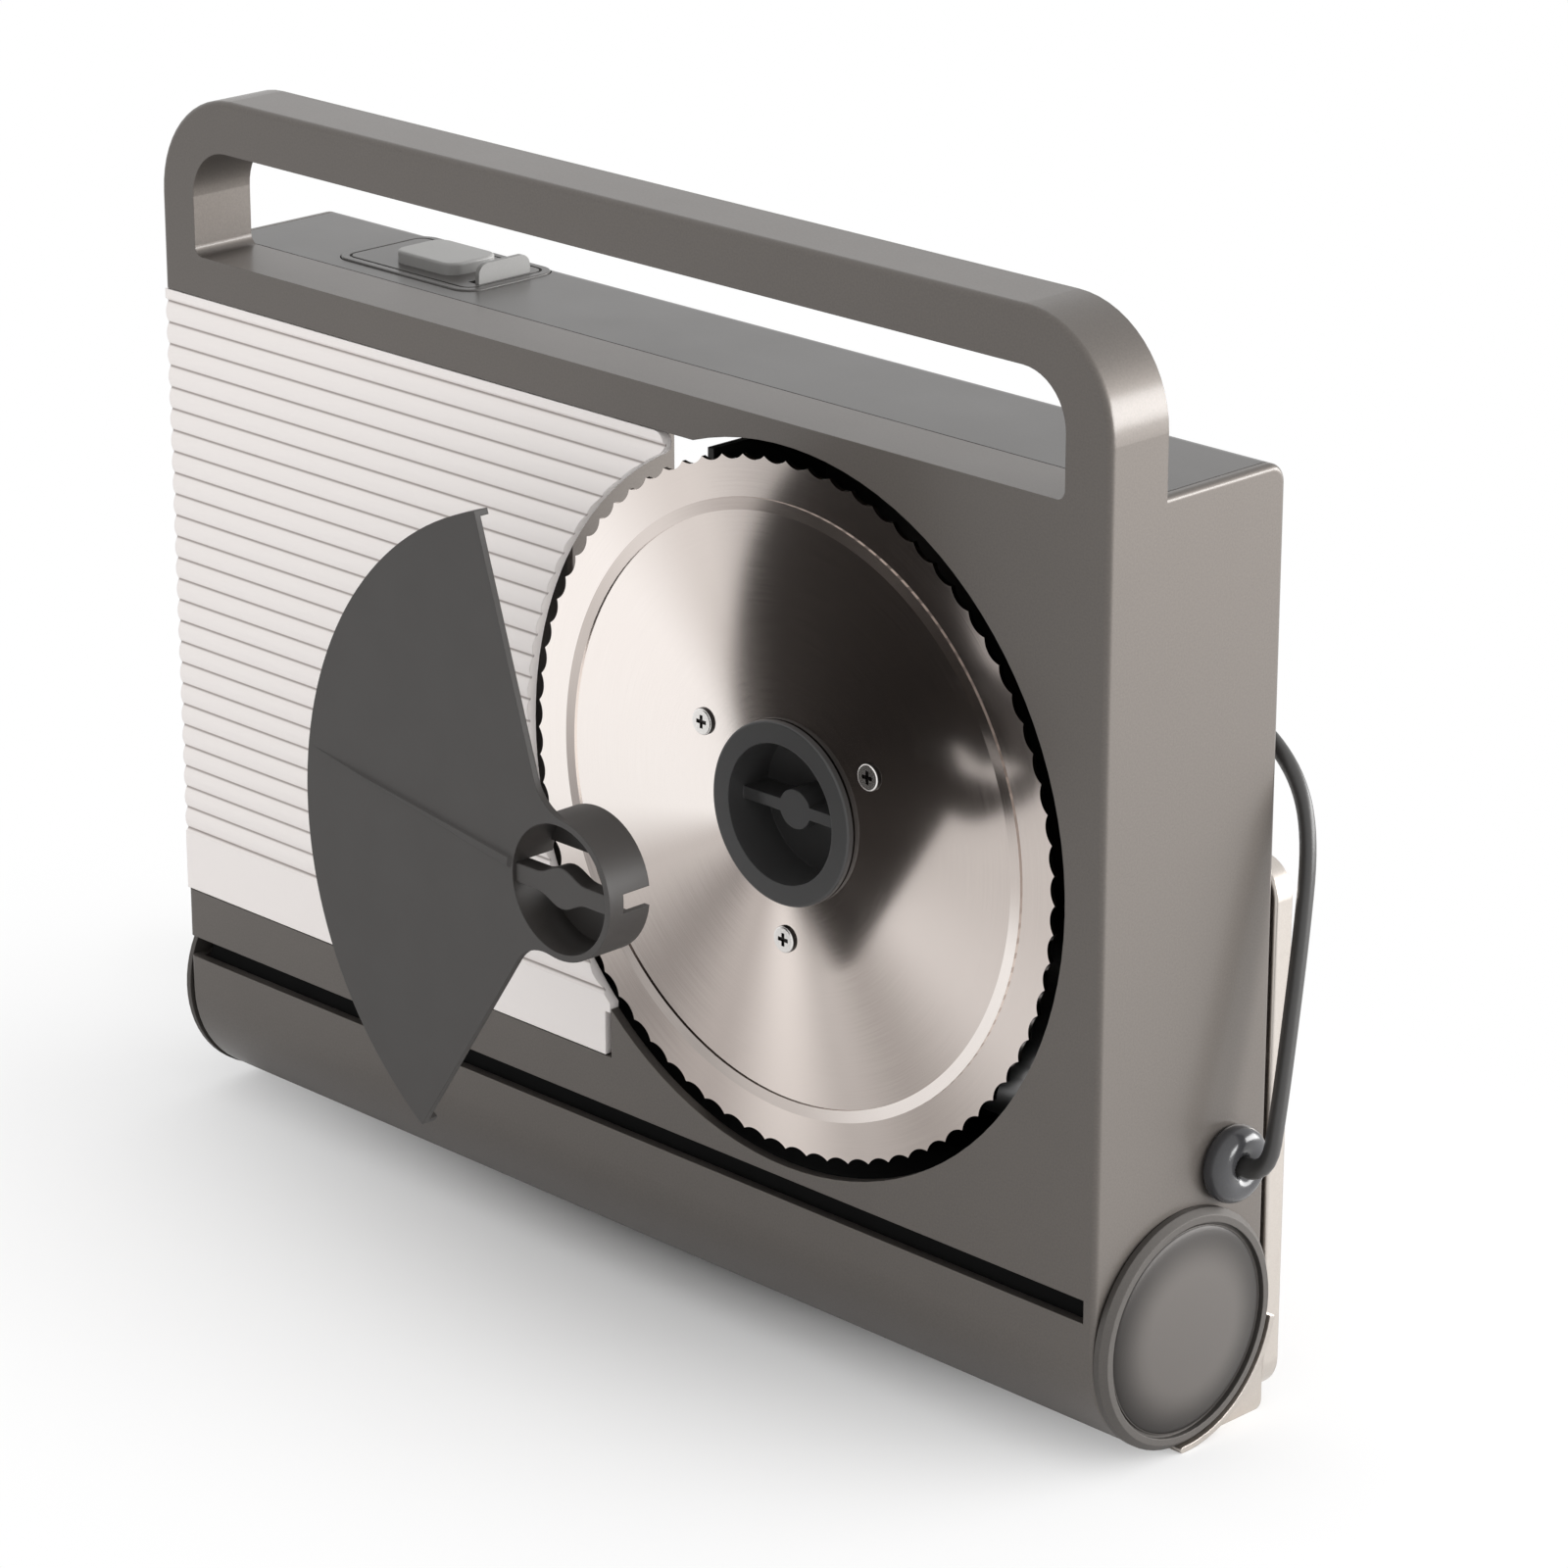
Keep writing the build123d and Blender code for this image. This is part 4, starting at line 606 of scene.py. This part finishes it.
# %% [markdown]
# ## Domes on the hinge discs
# Each end disc of the hinge barrel is domed like a watch glass: nearly flat in the middle and steep at its
# edge. A circle is extruded outwards in small steps, and each step is scaled along an ellipse. The left
# dome is a copy, turned half round about the middle of the discs.
# %% Domes
disc_low, disc_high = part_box("hinge_discs")
disc_middle = (disc_low + disc_high) / 2
dome_sink = 1.6 * MM
dome_rise = 2.1 * MM
dome_margin = 4.05 * MM
dome_steps = 14
dome_cut = 0.4
dome_smooth_angle = 60
dome_radius = (disc_high.z - disc_low.z) / 2 - dome_margin

bpy.ops.object.select_all(action="DESELECT")
dome_root = Vector((disc_high.x - dome_sink, disc_middle.y, disc_middle.z))
bpy.ops.mesh.primitive_circle_add(
    vertices=circle_sides,
    radius=dome_radius,
    fill_type="NGON",
    location=dome_root,
    rotation=(0, math.pi / 2, 0),
)
right_dome = bpy.context.object
bpy.ops.object.mode_set(mode="EDIT")
reach = 0
share = 1
for k in range(1, dome_steps + 1):
    turn = math.pi / 2 * k / (dome_steps + dome_cut)
    ahead = dome_rise * math.sin(turn) - reach
    reach += ahead
    next_share = math.cos(turn)
    grow((ahead, 0, 0), [next_share / share] * 3, dome_root + Vector((reach, 0, 0)))
    share = next_share
finish_mesh(right_dome, "hinge_dome_right", dome_smooth_angle)
bpy.ops.object.duplicate(linked=False)
left_dome = bpy.context.object
bpy.ops.transform.rotate(value=math.pi, orient_axis="Z", center_override=disc_middle)
bpy.ops.object.transform_apply(location=True, rotation=True, scale=True)
left_dome.name = "hinge_dome_left"
left_dome.data.name = "hinge_dome_left"
for piece in (right_dome, left_dome):
    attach(piece, "base")
print("dome radius", round(dome_radius, 4))

# %% [markdown]
# The grip and the floor halves are part of the guard, so they ride on its body and move with it.
# %% Guard pieces take their place
guard_pieces = [grip, upper_floor, lower_floor]
for piece in guard_pieces:
    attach(piece, "guard")
print("guard pieces", [piece.name for piece in guard_pieces])

# %% [markdown]
# ## Satin lacquer
# The housing is moulded plastic with a satin metallic lacquer: fine metal flakes in a brown-grey binder
# under a thin clear coat. The flakes make it brighten softly where it faces the light, which is why its
# right side looks much paler than its front. The flakes are a few hundredths of a millimetre on the real
# object. Here they are drawn at 0.5 mm, because finer ones would not show.
# %% Lacquer
flake_size = 0.5 * MM
lacquer_ripple = 25 * MM
edge_radius = 0.35 * MM
flake_depth = 0.02 * MM
flake_strength = 0.5
coat_roughness = 0.22
lacquer_swing = 0.04
cloud_detail = 2


def principled(name, colour, metallic, roughness, options=None):
    """A material with one Principled shader, linked to its output."""
    material, output = new_material(name)
    settings = {"Base Color": linear(colour), "Metallic": metallic, "Roughness": roughness}
    settings.update(options or {})
    shader = add_node(material, "ShaderNodeBsdfPrincipled", settings)
    material.node_tree.links.new(shader.outputs[0], output.inputs["Surface"])
    return material, shader


def tint_by(material, shader, factor, dark, light):
    """Lets a pattern run the base colour between two hex colours."""
    ramp = add_node(material, "ShaderNodeMix", {"Factor": factor}, data_type="RGBA")
    ramp.inputs[6].default_value = linear(dark)
    ramp.inputs[7].default_value = linear(light)
    material.node_tree.links.new(ramp.outputs[2], shader.inputs["Base Color"])


def roughen_by(material, shader, factor, low, high):
    """Lets a pattern run the roughness between two values."""
    spread = add_node(
        material, "ShaderNodeMapRange", {"Value": factor, "To Min": low, "To Max": high}
    )
    material.node_tree.links.new(spread.outputs["Result"], shader.inputs["Roughness"])


def emboss(material, shader, height, depth, strength=1.0, rounding=0.0):
    """Lets a pattern raise the surface by a depth in metres, over edges rounded by a small radius."""
    bump = add_node(material, "ShaderNodeBump", {"Height": height, "Strength": strength, "Distance": depth})
    if rounding:
        edge = add_node(material, "ShaderNodeBevel", {"Radius": rounding}, samples=4)
        material.node_tree.links.new(edge.outputs[0], bump.inputs["Normal"])
    material.node_tree.links.new(bump.outputs[0], shader.inputs["Normal"])


def grain(material, size, stretch=(1, 1, 1)):
    """Cloudy noise whose blobs are about this size in metres, stretched along the axes if asked."""
    place = add_node(material, "ShaderNodeTexCoord")
    scaled = add_node(
        material, "ShaderNodeMapping", {"Vector": place.outputs["Object"], "Scale": stretch}
    )
    noise = add_node(
        material,
        "ShaderNodeTexNoise",
        {"Vector": scaled.outputs[0], "Scale": 1 / size, "Detail": cloud_detail},
    )
    return noise.outputs[0]


def satin_lacquer(name, dark, light, metallic, roughness, coat):
    """Metallic lacquer on moulded plastic: flakes in the colour, a slow ripple in the gloss."""
    material, shader = principled(
        name, dark, metallic, roughness, {"Coat Weight": coat, "Coat Roughness": coat_roughness}
    )
    flakes = grain(material, flake_size)
    tint_by(material, shader, flakes, dark, light)
    ripple = grain(material, lacquer_ripple)
    roughen_by(material, shader, ripple, roughness - lacquer_swing, roughness + lacquer_swing)
    emboss(material, shader, flakes, flake_depth, flake_strength, edge_radius)
    return material


housing_lacquer = satin_lacquer("satin_lacquer_brown_grey", "#5D5854", "#6C6661", 0.9, 0.56, 0.6)
top_lacquer = satin_lacquer("gloss_lacquer_brown_grey", "#4C4A48", "#54514F", 0, 0.3, 0)
disc_lacquer = satin_lacquer("satin_lacquer_hinge_disc", "#4D4A47", "#575350", 0.5, 0.52, 0)
print("lacquers", housing_lacquer.name, top_lacquer.name, disc_lacquer.name)

# %% [markdown]
# The domes of the hinge discs have the same satin lacquer, and their rim looks darker than their middle. The
# plain light of this studio doesn't draw that, so it is painted: the distance from the discs' middle sets
# how dark the colour is.
# %% Lacquer of the domes
rim_start = 0.55
dome_roughness = (0.36, 0.44)
dome_lacquer, dome_shader = principled("satin_lacquer_hinge_dome", "#5C5855", 0.5, 0.4)
dome_place = add_node(dome_lacquer, "ShaderNodeTexCoord")
dome_centred = add_node(
    dome_lacquer,
    "ShaderNodeMapping",
    {"Vector": dome_place.outputs["Object"], "Location": tuple(-disc_middle)},
)
dome_flat = add_node(
    dome_lacquer, "ShaderNodeVectorMath", {0: dome_centred.outputs[0], 1: (0, 1, 1)}, operation="MULTIPLY"
)
dome_reach = add_node(dome_lacquer, "ShaderNodeVectorMath", {0: dome_flat.outputs[0]}, operation="LENGTH")
dome_edge = add_node(
    dome_lacquer,
    "ShaderNodeMapRange",
    {"Value": dome_reach.outputs["Value"], "From Min": dome_radius * rim_start, "From Max": dome_radius},
    interpolation_type="SMOOTHSTEP",
)
tint_by(dome_lacquer, dome_shader, dome_edge.outputs["Result"], "#5F5B58", "#2E2B29")
dome_flakes = grain(dome_lacquer, flake_size)
roughen_by(dome_lacquer, dome_shader, dome_flakes, *dome_roughness)
emboss(dome_lacquer, dome_shader, dome_flakes, flake_depth, flake_strength)
print("dome lacquer", dome_lacquer.name)

# %% [markdown]
# ## Moulded plastics and rubber
# Parts that a hand touches are moulded in ABS, with the fine grain that spark erosion leaves in the mould.
# ABS has a refractive index of 1.54, and the grain scatters its gloss, so the dark parts look soft and
# the pale switch parts look like satin. The real grain is near 0.1 mm and is drawn at 0.4 mm. The hinge drum
# shows through a slot that looks black, so that shade is painted into it: it is drawn darker and with less
# gloss than ABS has.
# %% Moulded plastics
mould_grain = 0.4 * MM
rubber_grain = 0.25 * MM
gloss_patch = 12 * MM
gloss_swing = 0.05
mould_strength = 0.6


def moulded(name, dark, light, roughness=0.45, ior=1.54, depth=0.012 * MM, size=mould_grain):
    """Moulded plastic: even colour, spark-eroded grain, a little uneven gloss."""
    material, shader = principled(name, dark, 0, roughness, {"IOR": ior})
    surface = grain(material, size)
    tint_by(material, shader, surface, dark, light)
    patches = grain(material, gloss_patch)
    roughen_by(material, shader, patches, roughness - gloss_swing, roughness + gloss_swing)
    emboss(material, shader, surface, depth, mould_strength, edge_radius)
    return material


guard_abs = moulded("moulded_abs_guard", "#33302E", "#383533", 0.5)
lock_abs = moulded("moulded_abs_lock", "#383838", "#3E3D3D", 0.36)
dark_abs = moulded("moulded_abs_dark", "#333130", "#3A3837", 0.45)
inner_abs = moulded("moulded_abs_inner", "#1D1C1C", "#242322", 0.5)
# Painted shade: the drum is drawn near black for the shade in its slot.
drum_painted_shade = moulded("moulded_abs_drum_painted_shade", "#070707", "#0B0B0B", 0.9, 1.3)
switch_abs = moulded("moulded_abs_switch_grey", "#959492", "#9D9C9A", 0.38)
# The lock tab is the switch's grey ABS, drawn darker as painted shade, because it faces the soft box.
tab_painted_shade_abs = moulded("moulded_abs_tab_grey_painted_shade", "#7C7B79", "#848381", 0.4)
gear_nylon = moulded("moulded_nylon_gear", "#E4E0D6", "#ECE8DE", 0.42, 1.53)
gland_pvc = moulded("moulded_pvc_gland", "#3A3A3C", "#404042", 0.2, 1.53, 0.004 * MM)
plug_pvc = moulded("moulded_pvc_plug", "#2B2A2A", "#313030", 0.42, 1.53)
tie_nylon = moulded("moulded_nylon_tie", "#1E1E1E", "#262626", 0.4, 1.53)
foot_rubber = moulded("moulded_rubber_foot", "#222121", "#2B2A29", 0.75, 1.52, 0.03 * MM, rubber_grain)
sheath_pvc = moulded("extruded_pvc_sheath", "#353433", "#3D3C3B", 0.36, 1.53, 0.003 * MM)
print("plastics", guard_abs.name, lock_abs.name)

# %% [markdown]
# ## White powder coat
# The stop plate is nearly white, and food slides along its ribs. It is drawn as a powder coat, which dries to
# a slight orange peel, a ripple about 1.2 mm wide that breaks its gloss up. The creases between the ribs
# stay too pale in this soft light, so their shade is painted: the height counts the ribs, and a narrow band
# at each crease turns darker. A test on the depth keeps the tint to the ribbed front.
# %% Powder coat
peel_size = 1.2 * MM
peel_depth = 0.015 * MM
peel_strength = 0.4
plate_rib_pitch = 5.7 * MM
plate_rib_foot = (73.9 + floor_drop) * MM
half_rib = 0.5
valley_share = 0.1
rib_depth = 1.1 * MM
plate_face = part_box("stop_plate")[0].y
plate_coat, plate_shader = principled("powder_coat_white", "#F1EBE8", 0, 0.3, {"IOR": 1.5})
plate_peel = grain(plate_coat, peel_size)
plate_place = add_node(plate_coat, "ShaderNodeTexCoord")
plate_axes = add_node(plate_coat, "ShaderNodeSeparateXYZ", {0: plate_place.outputs["Object"]})
plate_turns = add_node(
    plate_coat,
    "ShaderNodeMapRange",
    {
        "Value": plate_axes.outputs[2],
        "From Min": plate_rib_foot,
        "From Max": plate_rib_foot + plate_rib_pitch,
    },
    clamp=False,
)
plate_near = add_node(
    plate_coat, "ShaderNodeMath", {0: plate_turns.outputs["Result"], 1: half_rib}, operation="PINGPONG"
)
plate_valley = add_node(
    plate_coat,
    "ShaderNodeMapRange",
    {"Value": plate_near.outputs[0], "From Min": 0, "From Max": valley_share, "To Min": 1, "To Max": 0},
    interpolation_type="SMOOTHSTEP",
)
plate_on_ribs = add_node(
    plate_coat,
    "ShaderNodeMath",
    {0: plate_turns.outputs["Result"], 1: -valley_share},
    operation="GREATER_THAN",
)
plate_front = add_node(
    plate_coat,
    "ShaderNodeMath",
    {0: plate_axes.outputs[1], 1: plate_face + rib_depth},
    operation="LESS_THAN",
)
plate_on_front = add_node(
    plate_coat,
    "ShaderNodeMath",
    {0: plate_on_ribs.outputs[0], 1: plate_front.outputs[0]},
    operation="MULTIPLY",
)
plate_shade = add_node(
    plate_coat,
    "ShaderNodeMath",
    {0: plate_valley.outputs["Result"], 1: plate_on_front.outputs[0]},
    operation="MULTIPLY",
)
tint_by(plate_coat, plate_shader, plate_shade.outputs[0], "#F5EFEC", "#A89E9A")
emboss(plate_coat, plate_shader, plate_peel, peel_depth, peel_strength, edge_radius)
print("coat", plate_coat.name)

# %% [markdown]
# ## Metals
# Rolled and drawn metal keeps long fine lines in the direction of its working. The lines are noise that is
# stretched a hundred times along X. A metal's colour is the colour of its mirror image, and its
# refractive index stays at the default.
# %% Metals
line_width = 0.3 * MM
line_stretch = (0.01, 1, 1)
line_depth = 0.006 * MM
line_swing = 0.07
line_strength = 0.5


def worked_metal(name, dark, light, roughness, depth=line_depth, size=line_width):
    """Metal with fine lines along X."""
    material, shader = principled(name, dark, 1, roughness)
    lines = grain(material, size, line_stretch)
    tint_by(material, shader, lines, dark, light)
    roughen_by(material, shader, lines, roughness - line_swing, roughness + line_swing)
    emboss(material, shader, lines, depth, line_strength, edge_radius)
    return material


base_metal = worked_metal("brushed_aluminium_base", "#BDB6AF", "#CFC8C1", 0.34)
lip_metal = worked_metal("brushed_aluminium_lip", "#B9B2AB", "#CBC4BD", 0.32)
zinc_steel = worked_metal("zinc_plated_steel", "#A9A8A5", "#BDBCB9", 0.3)
motor_steel = worked_metal("drawn_steel_can", "#8E8F90", "#A2A3A4", 0.32)
ground_steel = worked_metal("ground_steel_shaft", "#BDBDBC", "#CDCDCC", 0.18)
laminated_iron = worked_metal("laminated_iron", "#5A5654", "#6F6B68", 0.45, 0.05 * MM, 0.5 * MM)
bronze = worked_metal("sintered_bronze", "#8A6A45", "#A07F57", 0.45)
print("metals", base_metal.name, bronze.name)

# %% [markdown]
# ## Spun and polished blade steel
# The blade is stainless steel, polished while it turns, so its fine scratches run in circles. The scratches
# are noise in polar coordinates: the distance from the axle sets the ring, and the angle is squeezed, so
# that each scratch runs a long way round. They are drawn 0.35 mm apart, since real ones would not show. On
# such a blade light gathers in bright and dark wedges that point at the middle. The even light of this
# studio doesn't draw them, so they are painted: a colour ramp runs once round the axle by the angle. The
# raised ring reads the same ramp further round, because its slope looks another way.
# %% Blade steel
ring_pitch = 0.35 * MM
bead_inner = 71.9 * MM
bead_outer = 74.9 * MM
bead_rise = 0.1 * MM
blade_roughness = (0.1, 0.14)
blade_anisotropy = 0.5
scratch_depth = 0.0006 * MM
bead_turn = 0.43
band_middle = 0.5
band_half = 0.495
angle_squeeze = 0.001
scratch_detail = 2
scratch_share = 0.25
scratch_colour = "#E9DFD8"
wedge_stops = [
    (0, "#F4E9E2"),
    (0.055, "#BDB2AC"),
    (0.11, "#8F8681"),
    (0.17, "#C6BCB6"),
    (0.22, "#FCF5F0"),
    (0.35, "#FAF2ED"),
    (0.43, "#D6CCC6"),
    (0.5, "#A8A09B"),
    (0.62, "#8E8682"),
    (0.74, "#C4BAB4"),
    (0.82, "#DAD0CA"),
    (0.9, "#ABA19B"),
    (0.95, "#C8BEB8"),
    (1, "#F4E9E2"),
]
blade_low, blade_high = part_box("blade")
blade_centre = (blade_low + blade_high) / 2

spun_steel, spun_shader = principled("spun_stainless_blade", "#EFE5DE", 1, 0.12)
spun_place = add_node(spun_steel, "ShaderNodeTexCoord")
spun_centred = add_node(
    spun_steel,
    "ShaderNodeMapping",
    {"Vector": spun_place.outputs["Object"], "Location": tuple(-blade_centre)},
)
spun_axes = add_node(spun_steel, "ShaderNodeSeparateXYZ", {0: spun_centred.outputs[0]})
spun_flat = add_node(
    spun_steel, "ShaderNodeCombineXYZ", {0: spun_axes.outputs[0], 1: spun_axes.outputs[2]}
)
spun_ring = add_node(spun_steel, "ShaderNodeVectorMath", {0: spun_flat.outputs[0]}, operation="LENGTH")
spun_angle = add_node(
    spun_steel, "ShaderNodeMath", {0: spun_axes.outputs[0], 1: spun_axes.outputs[2]}, operation="ARCTAN2"
)
spun_turn = add_node(
    spun_steel, "ShaderNodeMath", {0: spun_angle.outputs[0], 1: angle_squeeze}, operation="MULTIPLY"
)
spun_polar = add_node(
    spun_steel, "ShaderNodeCombineXYZ", {0: spun_ring.outputs["Value"], 1: spun_turn.outputs[0]}
)
spun_noise = add_node(
    spun_steel,
    "ShaderNodeTexNoise",
    {"Vector": spun_polar.outputs[0], "Scale": 1 / ring_pitch, "Detail": scratch_detail},
)
spun_bead = add_node(
    spun_steel,
    "ShaderNodeMapRange",
    {"Value": spun_ring.outputs["Value"], "From Min": bead_inner, "From Max": bead_outer},
)
spun_on_bead = add_node(
    spun_steel,
    "ShaderNodeMath",
    {0: spun_bead.outputs["Result"], 1: band_middle, 2: band_half},
    operation="COMPARE",
)
spun_share = add_node(
    spun_steel,
    "ShaderNodeMapRange",
    {"Value": spun_angle.outputs[0], "From Min": -math.pi, "From Max": math.pi},
)
spun_turned = add_node(
    spun_steel,
    "ShaderNodeMath",
    {0: spun_on_bead.outputs[0], 1: bead_turn, 2: spun_share.outputs["Result"]},
    operation="MULTIPLY_ADD",
)
spun_round = add_node(spun_steel, "ShaderNodeMath", {0: spun_turned.outputs[0]}, operation="FRACT")
spun_wedges = add_node(spun_steel, "ShaderNodeValToRGB", {0: spun_round.outputs[0]})
wedge_ramp = spun_wedges.color_ramp
wedge_ramp.interpolation = "EASE"
for place, _ in wedge_stops[1:-1]:
    wedge_ramp.elements.new(place)
for stop, (place, colour) in zip(wedge_ramp.elements, wedge_stops):
    stop.position = place
    stop.color = linear(colour)
spun_fine = add_node(
    spun_steel, "ShaderNodeMapRange", {"Value": spun_noise.outputs[0], "To Max": scratch_share}
)
spun_colour = add_node(
    spun_steel, "ShaderNodeMix", {"Factor": spun_fine.outputs["Result"]}, data_type="RGBA"
)
spun_steel.node_tree.links.new(spun_wedges.outputs[0], spun_colour.inputs[6])
spun_colour.inputs[7].default_value = linear(scratch_colour)
spun_steel.node_tree.links.new(spun_colour.outputs[2], spun_shader.inputs["Base Color"])
roughen_by(spun_steel, spun_shader, spun_noise.outputs[0], *blade_roughness)
spun_flank = add_node(
    spun_steel, "ShaderNodeMath", {0: spun_bead.outputs["Result"], 1: bead_rise}, operation="MULTIPLY"
)
spun_relief = add_node(
    spun_steel,
    "ShaderNodeMath",
    {0: spun_noise.outputs[0], 1: scratch_depth, 2: spun_flank.outputs[0]},
    operation="MULTIPLY_ADD",
)
emboss(spun_steel, spun_shader, spun_relief.outputs[0], 1)
spun_tangent = add_node(spun_steel, "ShaderNodeTangent", direction_type="RADIAL", axis="Y")
spun_shader.inputs["Anisotropic"].default_value = blade_anisotropy
spun_steel.node_tree.links.new(spun_tangent.outputs[0], spun_shader.inputs["Tangent"])
print("blade centre", [round(v, 4) for v in blade_centre])

# %% [markdown]
# The blade's three screws have polished heads, and their cross recess looks dark. That shade is painted too:
# the colour turns dark with the depth below the head's face.
# %% Screw steel
head_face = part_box("blade_screws")[0].y
recess_start = 0.08 * MM
recess_end = 0.3 * MM
turning_size = 0.3 * MM
screw_roughness = (0.16, 0.26)
screw_steel, screw_shader = principled("polished_screw_steel", "#F2EFEC", 1, 0.2)
screw_place = add_node(screw_steel, "ShaderNodeTexCoord")
screw_axes = add_node(screw_steel, "ShaderNodeSeparateXYZ", {0: screw_place.outputs["Object"]})
recess_shade = add_node(
    screw_steel,
    "ShaderNodeMapRange",
    {
        "Value": screw_axes.outputs[1],
        "From Min": head_face + recess_start,
        "From Max": head_face + recess_end,
    },
)
tint_by(screw_steel, screw_shader, recess_shade.outputs["Result"], "#F2EFEC", "#2A2827")
roughen_by(screw_steel, screw_shader, grain(screw_steel, turning_size), *screw_roughness)
print("screw head at", round(head_face, 5))

# %% [markdown]
# ## Dressing the solids
# Every solid now gets the finish of its real piece. A solid is never moved or changed: its material slots
# are simply filled. One table keeps the whole choice in view, and the script stops if it forgets a solid.
# %% Finishes for the solids
finishes = [
    (housing_lacquer, ["housing", "rear_cover"]),
    (top_lacquer, ["top_cover", "switch_frame"]),
    (disc_lacquer, ["hinge_discs"]),
    (switch_abs, ["switch_button"]),
    (tab_painted_shade_abs, ["lock_tab"]),
    (plate_coat, ["stop_plate"]),
    (spun_steel, ["blade"]),
    (guard_abs, ["blade_guard"]),
    (lock_abs, ["blade_lock"]),
    (dark_abs, ["thickness_dial", "cord_hooks", "fold_catch"]),
    (inner_abs, ["plate_carrier", "gearbox_frame", "motor_fan", "microswitch"]),
    (drum_painted_shade, ["hinge_drum"]),
    (gear_nylon, ["blade_gear"]),
    (gland_pvc, ["cord_gland"]),
    (plug_pvc, ["plug"]),
    (tie_nylon, ["cord_tie"]),
    (sheath_pvc, ["cord_run", "cord_coil"]),
    (foot_rubber, ["rubber_feet"]),
    (base_metal, ["base_plate"]),
    (lip_metal, ["cradle_lip", "cradle_core"]),
    (screw_steel, ["blade_screws"]),
    (zinc_steel, ["cover_screws", "motor_screws", "axle_clip", "switch_spring"]),
    (motor_steel, ["motor_can"]),
    (ground_steel, ["axle", "guide_rods", "motor_shaft", "thickness_spindle"]),
    (laminated_iron, ["armature", "motor_magnets"]),
    (bronze, ["gear_bush", "motor_bushes", "spindle_nut"]),
]
dressed = []
for material, names in finishes:
    for name in names:
        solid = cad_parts[name]
        if not solid.material_slots:
            solid.data.materials.append(material)
        for slot in solid.material_slots:
            slot.material = material
        dressed.append(name)
forgotten = sorted(set(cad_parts) - set(dressed))
if forgotten:
    raise ValueError(f"no finish for {forgotten}")
for piece, material in (
    (lead, sheath_pvc),
    (sleeve, plug_pvc),
    (plug_body, plug_pvc),
    (plug_pins, ground_steel),
    (grip, guard_abs),
    (upper_floor, guard_abs),
    (lower_floor, guard_abs),
    (right_dome, dome_lacquer),
    (left_dome, dome_lacquer),
):
    piece.data.materials.clear()
    piece.data.materials.append(material)
print("dressed", len(dressed), "solids")
